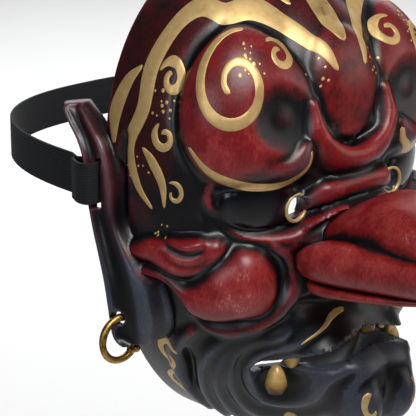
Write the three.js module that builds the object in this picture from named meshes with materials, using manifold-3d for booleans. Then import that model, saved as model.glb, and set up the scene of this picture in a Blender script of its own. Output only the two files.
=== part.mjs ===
// Tengu stage mask: one hollow casting with a long nose and two ears, gold teeth and eye rims,
// an elastic head strap and a brass hoop hanging in each ear lobe.
// Millimetres. Z is up, the mask looks along -Y, X = 0 is its plane of symmetry, and the flat
// rim that meets the wearer's head lies in the plane Y = 0, with eye level at Z = 0.
// "Forward" is distance in front of the rim, so it is -Y. "Out" is distance from the middle.

import * as THREE from 'three';
import { mergeVertices } from 'three/addons/utils/BufferGeometryUtils.js';
import Module from 'manifold-3d';

const wasm = await Module();
wasm.setup();

// Driving dimensions
const HALF_WIDTH = 88;
const DEPTH = 76;
const WIDEST_Z = 12;
const CROWN_Z = 114;
const CHIN_Z = -128;
const WALL = 4;
const STRAP_WIDTH = 20;
const STRAP_THICK = 1.6;
const EYE_OUT = 32.8;
const EYE_FORWARD = 71;
const EYE_Z = 0.6;
const EYE_HOLE_RADIUS = 5.4;
const EYE_RIM_RADIUS = 6.4;
const EYE_RIM_WIRE = 0.9;
const GAP = 0.3;

// Roundness of the head's outline from the front and the side, above and below its widest level
const ROUND = { widthTop: 2.3, widthBottom: 2.1, depthTop: 2.0, depthBottom: 3.4, plan: 2.5 };

// The head form is drawn on a face map: "out" millimetres round a drum of this radius, "up" in Z
const DRUM_RADIUS = 85;
const HEART = new THREE.Vector3(0, 0, -5);
const RAY_REACH = 220;
const RAY_HALVINGS = 24;
const OUTER_CELLS = 38;
const INNER_CELLS = 18;
// The hollow's tool runs this far out of the open back
const BACK_OVERRUN = 8;

// Swellings and hollows. edge: 0.5 is a ball, 2 a soft mound. Soft rows add up to the ground form,
// proud rows stand on it, and pushed rows move the ground forward.
const SWELLS = [
  { name: 'muzzle', kind: 'pushed', out: 0, up: -76, across: 68, high: 58, rise: 18, edge: 2 },
  { name: 'chin', kind: 'pushed', out: 10, up: -106, across: 38, high: 50, rise: 24, edge: 1.6 },
  { name: 'brow_dome', kind: 'soft', out: 54, up: 48, across: 39, high: 35, rise: 5, edge: 0.6 },
  { name: 'brow_dish', kind: 'soft', out: 37, up: 41, across: 15, high: 11, rise: -8, edge: 0.8 },
  { name: 'eye_socket', kind: 'soft', out: 45, up: 3, across: 33, high: 18, rise: -8, edge: 1 },
  { name: 'under_nose', kind: 'soft', out: 12, up: -50, across: 15, high: 8, rise: -5, edge: 1 },
  { name: 'brow_tongue', kind: 'proud', out: 0, up: 46, across: 11, high: 20, rise: 5, edge: 0.8 },
  { name: 'eyeball', kind: 'proud', out: 45, up: 5, across: 26, high: 14, rise: 9, edge: 0.6 },
  { name: 'cheek_ball', kind: 'proud', out: 57, up: -30, across: 23, high: 18, rise: 12, edge: 0.6 },
  { name: 'cheek_leaf', kind: 'proud', out: 85, up: -10, across: 9, high: 5, rise: 7, edge: 0.6 },
  { name: 'chin_lobe', kind: 'proud', out: 14, up: -108, across: 13, high: 24, rise: 6, edge: 0.6 },
];

// Rows of a table as objects with the columns' names
function named(columns, rows) {
  return rows.map((row) => Object.fromEntries(columns.map((column, k) => [column, row[k]])));
}

// Folds and grooves. Each follows part of an ellipse on the face map, from one angle to another
// (0 degrees points outward, 90 up), and its width goes from first to last.
const FOLD_COLUMNS = ['name', 'out', 'up', 'across', 'high', 'from', 'to', 'first', 'last', 'rise'];
const FOLDS = named(FOLD_COLUMNS, [
  ['brow_roll', 46, 40, 25, 20, -10, -158, 13, 13, 6],
  ['brow_u', 0, 42, 17, 21, -90, 12, 12, 11, 8],
  ['root_fold', 0, -9, 26, 14, 90, 38, 8, 6, 9],
  ['lower_lid', 45, 4, 25, 14, -5, -172, 5, 6, 3],
  ['eye_bag', 42, 6, 30, 21, -50, -140, 6, 6, 2],
  ['cheek_roll', 96, 20, 45, 40, -48, -119, 8, 20, 8],
  ['cheek_tail', 80, 0, 45, 39, -38, -98, 6, 24, 7],
  ['cheek_ring', 58, -30, 29, 24, -45, -215, 5, 5, 3],
  ['lip_bowl', 45, -80, 13, 14, 10, -160, 6, 7, 4],
  ['lower_lip', 0, -92, 34, 20, 90, 40, 8, 7, 4],
  ['mouth_fold_1', 47, -78, 20, 22, 80, -110, 6, 5, 2],
  ['mouth_fold_2', 48, -78, 29, 32, 70, -105, 8, 6, 2],
  ['upper_lip', 0, -74, 50, 15, 90, 15, 6, 5, 3],
]);
const GROOVES = named(FOLD_COLUMNS, [
  ['dome_crease', 54, 48, 39, 35, -75, 105, 7, 5, 2],
  ['u_crease', 0, 42, 10.5, 15.5, -90, 20, 5, 4, 5],
  ['dish_channel', 28, 52, 22, 14, -150, -90, 10, 10, 4],
  ['temple', 115, 0, 9, 30, 40, -25, 8, 6, 4],
  ['lobe_crease', 128, -52, 14, 18, 110, 220, 8, 6, 3],
  ['jaw_slit', 104, -75, 7, 16, 110, 230, 7, 6, 4],
]);
const FOLD_STEPS = 14;
const FOLD_EDGE = 0.6;

// Nose sections, each a rounded rectangle square to Y. The bridge is one body, and a long roll,
// which starts as the nostril's wing, runs along each side of it.
const BRIDGE = [
  { forward: 60, out: 0, wide: 10, top: -12, bottom: -26 },
  { forward: 76, out: 0, wide: 17, top: -4, bottom: -29 },
  { forward: 90, out: 0, wide: 22, top: 3.5, bottom: -31 },
  { forward: 106, out: 0, wide: 24.5, top: 9.5, bottom: -32 },
  { forward: 130, out: 0, wide: 25, top: 9, bottom: -31 },
  { forward: 160, out: 0, wide: 22, top: 7, bottom: -28 },
  { forward: 182, out: 0, wide: 20, top: 7, bottom: -27 },
  { forward: 196, out: 0, wide: 14, top: 3, bottom: -22 },
  { forward: 202, out: 0, wide: 4, top: -5, bottom: -13 },
];
const WING = [
  { forward: 72, out: 31.5, wide: 3.5, top: -21, bottom: -28 },
  { forward: 82, out: 30, wide: 9.5, top: -14.5, bottom: -32 },
  { forward: 96, out: 25.5, wide: 13, top: -11, bottom: -33.5 },
  { forward: 120, out: 18.5, wide: 13.5, top: -10, bottom: -33 },
  { forward: 150, out: 13, wide: 12, top: -7, bottom: -30 },
  { forward: 180, out: 9, wide: 9, top: -6, bottom: -25 },
  { forward: 192, out: 6, wide: 4, top: -10, bottom: -19 },
];
const NOSE_HOLLOW = [
  { forward: 40, out: 0, wide: 14, top: 0, bottom: -22 },
  { forward: 70, out: 0, wide: 14, top: -1, bottom: -22 },
  { forward: 88, out: 0, wide: 16, top: -1.5, bottom: -24 },
  { forward: 106, out: 0, wide: 17, top: 3.5, bottom: -25 },
  { forward: 130, out: 0, wide: 17, top: 4, bottom: -24 },
  { forward: 160, out: 0, wide: 14, top: 1, bottom: -21 },
  { forward: 184, out: 0, wide: 9, top: -2, bottom: -17 },
  { forward: 190, out: 0, wide: 3, top: -8, bottom: -12 },
];
const NOSE_SQUARE = 2.3;

// Mouth: heights of the two lips' edges at distances out from the middle
const LIPS = [
  { out: 0, upper: -62.5, lower: -69 },
  { out: 8, upper: -64.2, lower: -69.5 },
  { out: 15, upper: -67.2, lower: -71 },
  { out: 22, upper: -70.4, lower: -73.9 },
  { out: 28, upper: -72.3, lower: -77.2 },
  { out: 34, upper: -73.4, lower: -79.6 },
  { out: 41, upper: -74.6, lower: -80 },
  { out: 46, upper: -76.8, lower: -77.2 },
];
const MOUTH_CUT = { front: 125, rear: 38, steps: 16 };

// Ear: a bent plate, given at each height by its rear and front edges. It leaves the side of the
// head at its front edge and bends round to EAR_OUT at the rear.
const EAR = [
  { up: -66, rear: 20, front: 26 },
  { up: -62, rear: 14, front: 31 },
  { up: -50, rear: 11, front: 35 },
  { up: -36, rear: 8, front: 33 },
  { up: -22, rear: 4, front: 24 },
  { up: -8, rear: 0, front: 14 },
  { up: 10, rear: -4, front: 12 },
  { up: 22, rear: -5.6, front: 8 },
  { up: 30, rear: -9.5, front: 3.5 },
  { up: 36, rear: -14.5, front: -3.5 },
  { up: 41, rear: -18, front: -10.5 },
  { up: 45, rear: -21, front: -17 },
];
const EAR_OUT = 96;
const EAR_THICK = 4.6;
const EAR_RIM_SWELL = 1.6;
const EAR_BURIED = 3;
const EAR_BEND = 0.8;
const EAR_SHORTEST = 6;
const EAR_STEPS = { up: 16, across: 4 };
// Share of the plate's thickness left at its edges, and how fast it thickens inward
const EAR_EDGE = { share: 0.45, slope: 3 };
// How sharply the rims swell towards the rear edge and the top
const EAR_RIM_POWER = { rear: 6, top: 8 };
const SLOT = { forward: 2.6, up: 10, long: 24, wide: 4.4 };
const SLOT_CUT = { out: 104, wide: 40 };
const LOBE_HOLE = { forward: 17, up: -53, radius: 3.2, out: 95, half: 9 };
// Raised seat under each eye rim, and the see-through hole in it
const EYE_SEAT = { wider: 1.1, taper: 0.6, deep: 15.2 };
const EYE_CUT = { from: 40, long: 60 };
const EYE_RIM_PROUD = 0.6;

// Hoop
const HOOP_RADIUS = 10.6;
const HOOP_WIRE = 1.8;
const BEAD_RADIUS = 2.1;
const BEAD_ANGLE = -38;
const BEADS = [
  { across: 0, along: 1.9, up: 0 },
  { across: 0, along: -1.9, up: 0 },
  { across: 1.7, along: 0, up: 1.1 },
  { across: -1.7, along: 0, up: -1.1 },
];

// Teeth: out from the middle, width, and drop below the lip's edge. Fangs are cones with a round tip.
const TEETH = [
  { out: 7.4, wide: 13.6, drop: 4.9 },
  { out: 21.5, wide: 12, drop: 1.4 },
];
const TEETH_FORWARD = 85;
const TEETH_SWEEP = 12.5;
const TEETH_SWEEP_AT = 33;
const TOOTH_THICK = 5;
const TOOTH_ROOT = 5;
const TOOTH = { levels: 3, sides: 10, tip: 0.72, taper: 0.04, squareAcross: 0.55, squareDeep: 0.7 };
const GUM = { above: 2.6, behind: 0.6, half: 1.4, past: 3, steps: 10 };
const FANG = { levels: 5, sides: 10, blunt: 0.12, belly: 1.7 };
const UPPER_FANG = { out: 33, forward: 73, base: -66, tip: -78.5, radius: 5 };
const LOWER_FANG = { out: 40, forward: 67.5, base: -90, tip: -77, radius: 4.6 };

// Strap: passes through each slot, round the ear's rear bar, and round the back of the head
const STRAP_BACK = 122;
const STRAP_HALF_WIDTH = 92;
const STRAP_Z = 10;
const STRAP_ROUND = 0.8;
const STRAP_STEPS = 26;
const STRAP_CLEAR = 0.5;
// Loop round the ear's rear bar: where its two ends join behind the bar, and half their distance
const LOOP_JOIN_BEHIND = 9;
const LOOP_JOIN_HALF = 1.2;
const LOOP_CORNER = 2;

const DEG = Math.PI / 180;

function superRoot(t, power) {
  return Math.pow(Math.max(0, 1 - Math.pow(t, power)), 1 / power);
}

// Half width and depth of the plain head form at one height
function headSection(z) {
  const above = z > WIDEST_Z;
  const span = above ? CROWN_Z - WIDEST_Z : WIDEST_Z - CHIN_Z;
  const t = Math.min(Math.abs(z - WIDEST_Z) / span, 0.9999);
  return {
    wide: HALF_WIDTH * superRoot(t, above ? ROUND.widthTop : ROUND.widthBottom),
    deep: DEPTH * superRoot(t, above ? ROUND.depthTop : ROUND.depthBottom),
  };
}

function insideHead(p) {
  if (p.z > CROWN_Z || p.z < CHIN_Z) return false;
  const s = headSection(p.z);
  return Math.pow(Math.abs(p.x) / s.wide, ROUND.plan) + Math.pow(Math.abs(p.y) / s.deep, ROUND.plan) < 1;
}

// Where a ray from the heart of the head leaves the plain head form
function headRadius(direction) {
  let low = 0;
  let high = RAY_REACH;
  for (let i = 0; i < RAY_HALVINGS; i++) {
    const middle = (low + high) / 2;
    if (insideHead(HEART.clone().addScaledVector(direction, middle))) low = middle;
    else high = middle;
  }
  return (low + high) / 2;
}

function faceMap(p) {
  const s = headSection(p.z);
  const side = Math.pow(Math.abs(p.x) / s.wide, ROUND.plan / 2);
  const front = Math.pow(Math.abs(p.y) / s.deep, ROUND.plan / 2);
  return { out: Math.atan2(side, front) * DRUM_RADIUS, up: p.z };
}

function swellHeight(place, row) {
  const q = Math.hypot((place.out - row.out) / row.across, (place.up - row.up) / row.high);
  return q >= 1 ? 0 : row.rise * Math.pow(1 - q * q, row.edge);
}

function foldPoints(row) {
  const points = [];
  for (let i = 0; i <= FOLD_STEPS; i++) {
    const t = i / FOLD_STEPS;
    const angle = (row.from + (row.to - row.from) * t) * DEG;
    points.push({
      out: row.out + row.across * Math.cos(angle),
      up: row.up + row.high * Math.sin(angle),
      half: (row.first + (row.last - row.first) * t) / 2,
    });
  }
  return points;
}

const foldPaths = new Map([...FOLDS, ...GROOVES].map((row) => [row, foldPoints(row)]));

// 1 on a fold's middle line at its widest, falling to 0 at its edge
function foldShare(place, row) {
  const path = foldPaths.get(row);
  const widest = Math.max(row.first, row.last) / 2;
  let best = 0;
  for (let i = 0; i < FOLD_STEPS; i++) {
    const a = path[i];
    const b = path[i + 1];
    const du = b.out - a.out;
    const dz = b.up - a.up;
    const along = ((place.out - a.out) * du + (place.up - a.up) * dz) / (du * du + dz * dz);
    const k = Math.min(1, Math.max(0, along));
    const gap = Math.hypot(place.out - a.out - k * du, place.up - a.up - k * dz);
    const half = a.half + (b.half - a.half) * k;
    best = Math.max(best, (1 - (gap / half) ** 2) * (half / widest));
  }
  return best;
}

// How far the sculpted surface stands off the plain head form at one place on the face map
function relief(place) {
  let ground = 0;
  let pushed = 0;
  let proud = 0;
  let sunk = 0;
  for (const row of SWELLS) {
    const height = swellHeight(place, row);
    if (row.kind === 'soft') ground += height;
    else if (row.kind === 'pushed') pushed += height;
    else proud = Math.max(proud, height);
  }
  for (const row of FOLDS) proud = Math.max(proud, row.rise * Math.pow(foldShare(place, row), FOLD_EDGE));
  for (const row of GROOVES) sunk = Math.max(sunk, row.rise * foldShare(place, row));
  return { out: ground + proud - sunk, pushed };
}

// Directions from the heart over the whole front, laid out on a square grid without a pole
function gridDirection(i, j, cells) {
  const a = (2 * i) / cells - 1;
  const b = (2 * j) / cells - 1;
  const x = a * Math.sqrt(1 - (b * b) / 2);
  const z = b * Math.sqrt(1 - (a * a) / 2);
  const r = Math.min(1, Math.hypot(x, z));
  if (r < 1e-9) return new THREE.Vector3(0, -1, 0);
  const onRim = i === 0 || j === 0 || i === cells || j === cells;
  const turn = (r * Math.PI) / 2;
  const k = (onRim ? 1 : Math.sin(turn)) / r;
  return new THREE.Vector3(x * k, onRim ? 0 : -Math.cos(turn), z * k);
}

function surfaceSample(direction) {
  const plain = headRadius(direction);
  const stand = relief(faceMap(HEART.clone().addScaledVector(direction, plain)));
  return { direction, plain, stand: stand.out, radius: plain + stand.out, pushed: stand.pushed };
}

function sampleGrid(cells) {
  const rows = [];
  for (let i = 0; i <= cells; i++) {
    const row = [];
    for (let j = 0; j <= cells; j++) row.push(surfaceSample(gridDirection(i, j, cells)));
    rows.push(row);
  }
  const soft = softened(rows, 'stand');
  rows.forEach((row, i) => row.forEach((sample, j) => {
    sample.radius = sample.plain + soft[i][j];
  }));
  return rows;
}

// Steps narrower than one cell are softened by each sample's mean with its neighbours
function softened(rows, key) {
  const weights = [1, 2, 1];
  return rows.map((row, i) => row.map((sample, j) => {
    let sum = 0;
    let total = 0;
    for (let a = -1; a <= 1; a++) {
      for (let b = -1; b <= 1; b++) {
        const near = rows[i + a] && rows[i + a][j + b];
        if (!near) continue;
        const weight = weights[a + 1] * weights[b + 1];
        sum += near[key] * weight;
        total += weight;
      }
    }
    return sum / total;
  }));
}

function samplePoint(sample, thinner) {
  const p = HEART.clone().addScaledVector(sample.direction, sample.radius - thinner);
  p.y -= sample.pushed;
  return p;
}

// The wall's inner face lies WALL below the lowest part of the outer face near it
function innerSamples(outer) {
  const rows = [];
  const reach = OUTER_CELLS / INNER_CELLS;
  for (let i = 0; i <= INNER_CELLS; i++) {
    const row = [];
    for (let j = 0; j <= INNER_CELLS; j++) {
      const sample = surfaceSample(gridDirection(i, j, INNER_CELLS));
      const ci = i * reach;
      const cj = j * reach;
      for (let a = Math.ceil(ci - reach); a <= ci + reach; a++) {
        for (let b = Math.ceil(cj - reach); b <= cj + reach; b++) {
          const near = outer[a] && outer[a][b];
          if (near) sample.radius = Math.min(sample.radius, near.radius);
        }
      }
      row.push(sample);
    }
    rows.push(row);
  }
  return rows;
}

// Closed mesh from vertices and triangles, as a solid whose faces point out
function solidFrom(vertices, triangles) {
  let volume = 0;
  const at = (i) => new THREE.Vector3(vertices[3 * i], vertices[3 * i + 1], vertices[3 * i + 2]);
  for (let t = 0; t < triangles.length; t += 3) {
    volume += at(triangles[t]).dot(at(triangles[t + 1]).cross(at(triangles[t + 2])));
  }
  const faces = Uint32Array.from(triangles);
  if (volume < 0) {
    for (let t = 0; t < faces.length; t += 3) [faces[t + 1], faces[t + 2]] = [faces[t + 2], faces[t + 1]];
  }
  const vertProperties = Float32Array.from(vertices);
  return new wasm.Manifold(new wasm.Mesh({ numProp: 3, vertProperties, triVerts: faces }));
}

function solidFromGeometry(geometry) {
  geometry.deleteAttribute('normal');
  geometry.deleteAttribute('uv');
  const merged = mergeVertices(geometry, 1e-4);
  return solidFrom(Array.from(merged.attributes.position.array), Array.from(merged.index.array));
}

// Front sheet of the head closed by a flat fan at the back
function closedSheet(samples, cells, thinner, back) {
  const vertices = [];
  const triangles = [];
  const index = (i, j) => i * (cells + 1) + j;
  for (const row of samples) {
    for (const sample of row) vertices.push(...samplePoint(sample, thinner).toArray());
  }
  for (let i = 0; i < cells; i++) {
    for (let j = 0; j < cells; j++) {
      const [a, b, c, d] = [index(i, j), index(i + 1, j), index(i + 1, j + 1), index(i, j + 1)];
      if ((i < cells / 2) === (j < cells / 2)) triangles.push(a, b, d, b, c, d);
      else triangles.push(a, b, c, a, c, d);
    }
  }
  const rim = [];
  for (let i = 0; i < cells; i++) rim.push(index(i, 0));
  for (let j = 0; j < cells; j++) rim.push(index(cells, j));
  for (let i = cells; i > 0; i--) rim.push(index(i, cells));
  for (let j = cells; j > 0; j--) rim.push(index(0, j));
  let edge = rim;
  if (back > 0) {
    edge = rim.map((v) => {
      vertices.push(vertices[3 * v], back, vertices[3 * v + 2]);
      return vertices.length / 3 - 1;
    });
    rim.forEach((v, k) => {
      const next = (k + 1) % rim.length;
      triangles.push(v, edge[k], rim[next], rim[next], edge[k], edge[next]);
    });
  }
  vertices.push(HEART.x, back, HEART.z);
  const middle = vertices.length / 3 - 1;
  edge.forEach((v, k) => triangles.push(v, middle, edge[(k + 1) % edge.length]));
  return solidFrom(vertices, triangles);
}

// Smooth value between the rows of a table
function between(rows, key, t) {
  const at = Math.min(rows.length - 2, Math.floor(t * (rows.length - 1)));
  const k = t * (rows.length - 1) - at;
  const p = (n) => rows[Math.min(rows.length - 1, Math.max(0, at + n))][key];
  const rise = (p(1) - p(-1)) / 2;
  const next = (p(2) - p(0)) / 2;
  const step = p(1) - p(0);
  return p(0) + k * (rise + k * (3 * step - 2 * rise - next + k * (rise + next - 2 * step)));
}

// Skin over rings of equal length, closed at both ends by fans
function skin(rings) {
  const sides = rings[0].length;
  const vertices = [];
  const triangles = [];
  for (const ring of rings) for (const p of ring) vertices.push(...p);
  for (let r = 0; r + 1 < rings.length; r++) {
    for (let s = 0; s < sides; s++) {
      const a = r * sides + s;
      const b = r * sides + ((s + 1) % sides);
      triangles.push(a, b, a + sides, b, b + sides, a + sides);
    }
  }
  for (const [ring, first, flip] of [[rings[0], 0, 1], [rings.at(-1), (rings.length - 1) * sides, 0]]) {
    const middle = [0, 1, 2].map((k) => ring.reduce((sum, p) => sum + p[k], 0) / sides);
    vertices.push(...middle);
    const centre = vertices.length / 3 - 1;
    for (let s = 0; s < sides; s++) {
      const a = first + s;
      const b = first + ((s + 1) % sides);
      triangles.push(...(flip ? [a, centre, b] : [a, b, centre]));
    }
  }
  return solidFrom(vertices, triangles);
}

// Rounded-rectangle sections along Y, from a table of forward, out, wide, top and bottom
function noseLoft(rows, side, sides, steps) {
  const rings = [];
  for (let r = 0; r <= steps; r++) {
    const t = r / steps;
    const get = (key) => between(rows, key, t);
    const high = (get('top') - get('bottom')) / 2;
    const ring = [];
    for (let s = 0; s < sides; s++) {
      const angle = (2 * Math.PI * s) / sides;
      const c = Math.cos(angle);
      const d = Math.sin(angle);
      ring.push([
        side * (get('out') + get('wide') * Math.sign(c) * Math.pow(Math.abs(c), 2 / NOSE_SQUARE)),
        -get('forward'),
        get('bottom') + high + high * Math.sign(d) * Math.pow(Math.abs(d), 2 / NOSE_SQUARE),
      ]);
    }
    rings.push(ring);
  }
  return skin(rings);
}

// How far out the ear plate's middle lies at one height and distance forward
function earPlace(row, forward) {
  const near = headSection(row.up).wide - EAR_BURIED;
  const long = Math.max(EAR_SHORTEST, row.front - row.rear);
  const t = Math.min(1, Math.max(0, (row.front - forward) / long));
  return near + (EAR_OUT - near) * Math.pow(Math.sin((t * Math.PI) / 2), EAR_BEND);
}

function earSolid(side) {
  const rings = [];
  for (let r = 0; r <= EAR_STEPS.up; r++) {
    const t = r / EAR_STEPS.up;
    const row = { up: between(EAR, 'up', t), rear: between(EAR, 'rear', t), front: between(EAR, 'front', t) };
    const outer = [];
    const inner = [];
    for (let k = 0; k <= EAR_STEPS.across; k++) {
      const share = k / EAR_STEPS.across;
      const forward = row.rear + (row.front - row.rear) * share;
      const swell = Math.pow(1 - share, EAR_RIM_POWER.rear) + Math.pow(t, EAR_RIM_POWER.top);
      const edge = EAR_EDGE.share + EAR_EDGE.slope * Math.min(share, 1 - share);
      const half = (EAR_THICK / 2 + EAR_RIM_SWELL * swell) * Math.min(1, edge);
      const middle = earPlace(row, forward);
      const step = 0.5;
      const turn = Math.atan2(middle - earPlace(row, forward + step), step);
      const [dx, dy] = [half * Math.cos(turn), half * Math.sin(turn)];
      outer.push([side * (middle + dx), -(forward + dy), row.up]);
      inner.unshift([side * (middle - dx), -(forward - dy), row.up]);
    }
    rings.push([...outer, ...inner]);
  }
  return skin(rings);
}

// Solid of revolution from a lathe profile of [radius, distance] pairs, turned to point along +X
// or forward along -Y
function turned(profile, sides, points, place) {
  const geometry = new THREE.LatheGeometry(profile.map(([r, d]) => new THREE.Vector2(r, d)), sides);
  if (points === 'out') geometry.rotateZ(-Math.PI / 2);
  else geometry.rotateX(Math.PI);
  return solidFromGeometry(geometry.translate(...place));
}

// Profile of a plain round bar, or of a cone's frustum where the two radii differ
function rod(first, last, from, to) {
  return [[0, from], [first, from], [last, to], [0, to]];
}

function box(sizes, place) {
  return solidFromGeometry(new THREE.BoxGeometry(...sizes).translate(...place));
}

function wireRing(radius, wire, around, sides, place, axis) {
  const geometry = new THREE.TorusGeometry(radius, wire, sides, around);
  if (axis === 'y') geometry.rotateX(Math.PI / 2);
  geometry.translate(...place);
  return solidFromGeometry(geometry);
}

// Height of a lip's edge, 'upper' or 'lower', at a distance out from the middle
function lipZ(out, lip) {
  const last = LIPS.length - 1;
  const at = Math.min(Math.abs(out), LIPS[last].out);
  const i = Math.min(last - 1, LIPS.findLastIndex((row) => row.out <= at));
  const share = (at - LIPS[i].out) / (LIPS[i + 1].out - LIPS[i].out);
  return LIPS[i][lip] + (LIPS[i + 1][lip] - LIPS[i][lip]) * share;
}

function mouthCut() {
  const upper = [];
  const lower = [];
  for (let i = 0; i <= MOUTH_CUT.steps; i++) {
    const x = LIPS.at(-1).out * ((2 * i) / MOUTH_CUT.steps - 1);
    upper.push(new THREE.Vector2(x, lipZ(x, 'upper')));
    lower.unshift(new THREE.Vector2(x, lipZ(x, 'lower')));
  }
  const geometry = new THREE.ExtrudeGeometry(new THREE.Shape([...upper, ...lower]), {
    depth: MOUTH_CUT.front - MOUTH_CUT.rear, bevelEnabled: false,
  });
  return solidFromGeometry(geometry.rotateX(Math.PI / 2).translate(0, -MOUTH_CUT.rear, 0));
}

function toothForward(x) {
  return TEETH_FORWARD - TEETH_SWEEP * (x / TEETH_SWEEP_AT) ** 2;
}

// One tooth, wide and rounded, standing under the lip's edge
function tooth(x, row, grow) {
  const rings = [];
  const top = lipZ(x, 'upper') + TOOTH_ROOT + grow;
  const tip = lipZ(x, 'upper') - row.drop - grow;
  for (let r = 0; r <= TOOTH.levels; r++) {
    const z = top + (tip - top) * (r / TOOTH.levels);
    const taper = r === TOOTH.levels ? TOOTH.tip : 1 - TOOTH.taper * r;
    const ring = [];
    for (let s = 0; s < TOOTH.sides; s++) {
      const angle = (2 * Math.PI * s) / TOOTH.sides;
      const c = Math.cos(angle);
      const d = Math.sin(angle);
      const dx = (row.wide / 2 + grow) * taper * Math.sign(c) * Math.pow(Math.abs(c), TOOTH.squareAcross);
      const dy = (TOOTH_THICK / 2 + grow) * taper * Math.sign(d) * Math.pow(Math.abs(d), TOOTH.squareDeep);
      ring.push([x + dx, -toothForward(x + dx) + dy, z]);
    }
    rings.push(ring);
  }
  return skin(rings);
}

function fang(side, row, grow) {
  const rings = [];
  for (let r = 0; r <= FANG.levels; r++) {
    const t = r / FANG.levels;
    const z = row.base + (row.tip - row.base) * t + Math.sign(row.tip - row.base) * grow * (2 * t - 1);
    const radius = (row.radius + grow) * Math.max(FANG.blunt, Math.sqrt(Math.max(0, 1 - t ** FANG.belly)));
    const ring = [];
    for (let s = 0; s < FANG.sides; s++) {
      const angle = (2 * Math.PI * s) / FANG.sides;
      ring.push([side * row.out + radius * Math.cos(angle), -row.forward + radius * Math.sin(angle), z]);
    }
    rings.push(ring);
  }
  return skin(rings);
}

function teethRow(grow) {
  let row = null;
  for (const side of [-1, 1]) {
    for (const one of TEETH) {
      const solid = tooth(side * one.out, one, grow);
      row = row ? row.add(solid) : solid;
    }
  }
  return row.add(gumBar(grow));
}

// Bar that joins the teeth behind the lip
function gumBar(grow) {
  const rings = [];
  const reach = TEETH[1].out + GUM.past;
  for (let i = 0; i <= GUM.steps; i++) {
    const x = reach * ((2 * i) / GUM.steps - 1);
    const z = lipZ(x, 'upper') + GUM.above;
    const y = -toothForward(x) + GUM.behind;
    const half = GUM.half + grow;
    const corners = [[-1, -1], [1, -1], [1, 1], [-1, 1]];
    rings.push(corners.map(([a, b]) => [x, y + a * half, z + b * half]));
  }
  return skin(rings);
}

function eyeRimPlace(side) {
  return [side * EYE_OUT, -(EYE_FORWARD + EYE_RIM_PROUD), EYE_Z];
}

function maskSolid() {
  const outer = sampleGrid(OUTER_CELLS);
  let mask = closedSheet(outer, OUTER_CELLS, 0, 0);
  mask = mask.add(noseLoft(BRIDGE, 1, 16, 12));
  for (const side of [-1, 1]) {
    mask = mask.add(noseLoft(WING, side, 12, 10)).add(earSolid(side));
    const [x, y, z] = eyeRimPlace(side);
    const wide = EYE_RIM_RADIUS + EYE_SEAT.wider;
    const seat = rod(wide, wide - EYE_SEAT.taper, 0, EYE_SEAT.deep);
    mask = mask.add(turned(seat, 16, 'forward', [x, -EYE_FORWARD + EYE_SEAT.deep, z]));
  }
  mask = mask.subtract(closedSheet(innerSamples(outer), INNER_CELLS, WALL, BACK_OVERRUN));
  mask = mask.subtract(noseLoft(NOSE_HOLLOW, 1, 8, 6)).subtract(mouthCut());
  mask = mask.subtract(teethRow(GAP));
  for (const side of [-1, 1]) {
    const [x, y, z] = eyeRimPlace(side);
    const hole = rod(EYE_HOLE_RADIUS, EYE_HOLE_RADIUS, 0, EYE_CUT.long);
    mask = mask.subtract(turned(hole, 12, 'forward', [x, -EYE_CUT.from, z]));
    mask = mask.subtract(wireRing(EYE_RIM_RADIUS, EYE_RIM_WIRE + GAP, 16, 6, [x, y, z], 'y'));
    mask = mask.subtract(fang(side, UPPER_FANG, GAP)).subtract(fang(side, LOWER_FANG, GAP));
    const slotPlace = [side * SLOT_CUT.out, -SLOT.forward, SLOT.up];
    mask = mask.subtract(box([SLOT_CUT.wide, SLOT.wide, SLOT.long], slotPlace));
    const lobe = rod(LOBE_HOLE.radius, LOBE_HOLE.radius, -LOBE_HOLE.half, LOBE_HOLE.half);
    const lobePlace = [side * LOBE_HOLE.out, -LOBE_HOLE.forward, LOBE_HOLE.up];
    mask = mask.subtract(turned(lobe, 10, 'out', lobePlace));
  }
  return mask;
}

function hoopSolid(side) {
  const [x, y, z] = hoopCentre(side);
  let hoop = wireRing(HOOP_RADIUS, HOOP_WIRE, 20, 6, [x, y, z], 'y');
  const angle = BEAD_ANGLE * DEG;
  const beadX = x - side * HOOP_RADIUS * Math.cos(angle);
  const beadZ = z + HOOP_RADIUS * Math.sin(angle);
  for (const row of BEADS) {
    const geometry = new THREE.SphereGeometry(BEAD_RADIUS, 8, 5);
    geometry.translate(beadX + row.across, y + row.along, beadZ + row.up);
    hoop = hoop.add(solidFromGeometry(geometry));
  }
  return hoop;
}

function hoopCentre(side) {
  const row = EAR.find((r) => r.up === -50);
  const x = earPlace(row, LOBE_HOLE.forward);
  return [side * x, -LOBE_HOLE.forward, LOBE_HOLE.up - HOOP_RADIUS];
}

// Upright band of strap along a line of plan points
function band(points) {
  const left = [];
  const right = [];
  points.forEach(([x, y], k) => {
    const [ax, ay] = points[Math.max(0, k - 1)];
    const [bx, by] = points[Math.min(points.length - 1, k + 1)];
    const long = Math.hypot(bx - ax, by - ay);
    const nx = (-(by - ay) / long) * (STRAP_THICK / 2);
    const ny = ((bx - ax) / long) * (STRAP_THICK / 2);
    left.push(new THREE.Vector2(x + nx, y + ny));
    right.unshift(new THREE.Vector2(x - nx, y - ny));
  });
  const geometry = new THREE.ExtrudeGeometry(new THREE.Shape([...left, ...right]), {
    depth: STRAP_WIDTH, bevelEnabled: false,
  });
  return solidFromGeometry(geometry.translate(0, 0, STRAP_Z - STRAP_WIDTH / 2));
}

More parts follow.
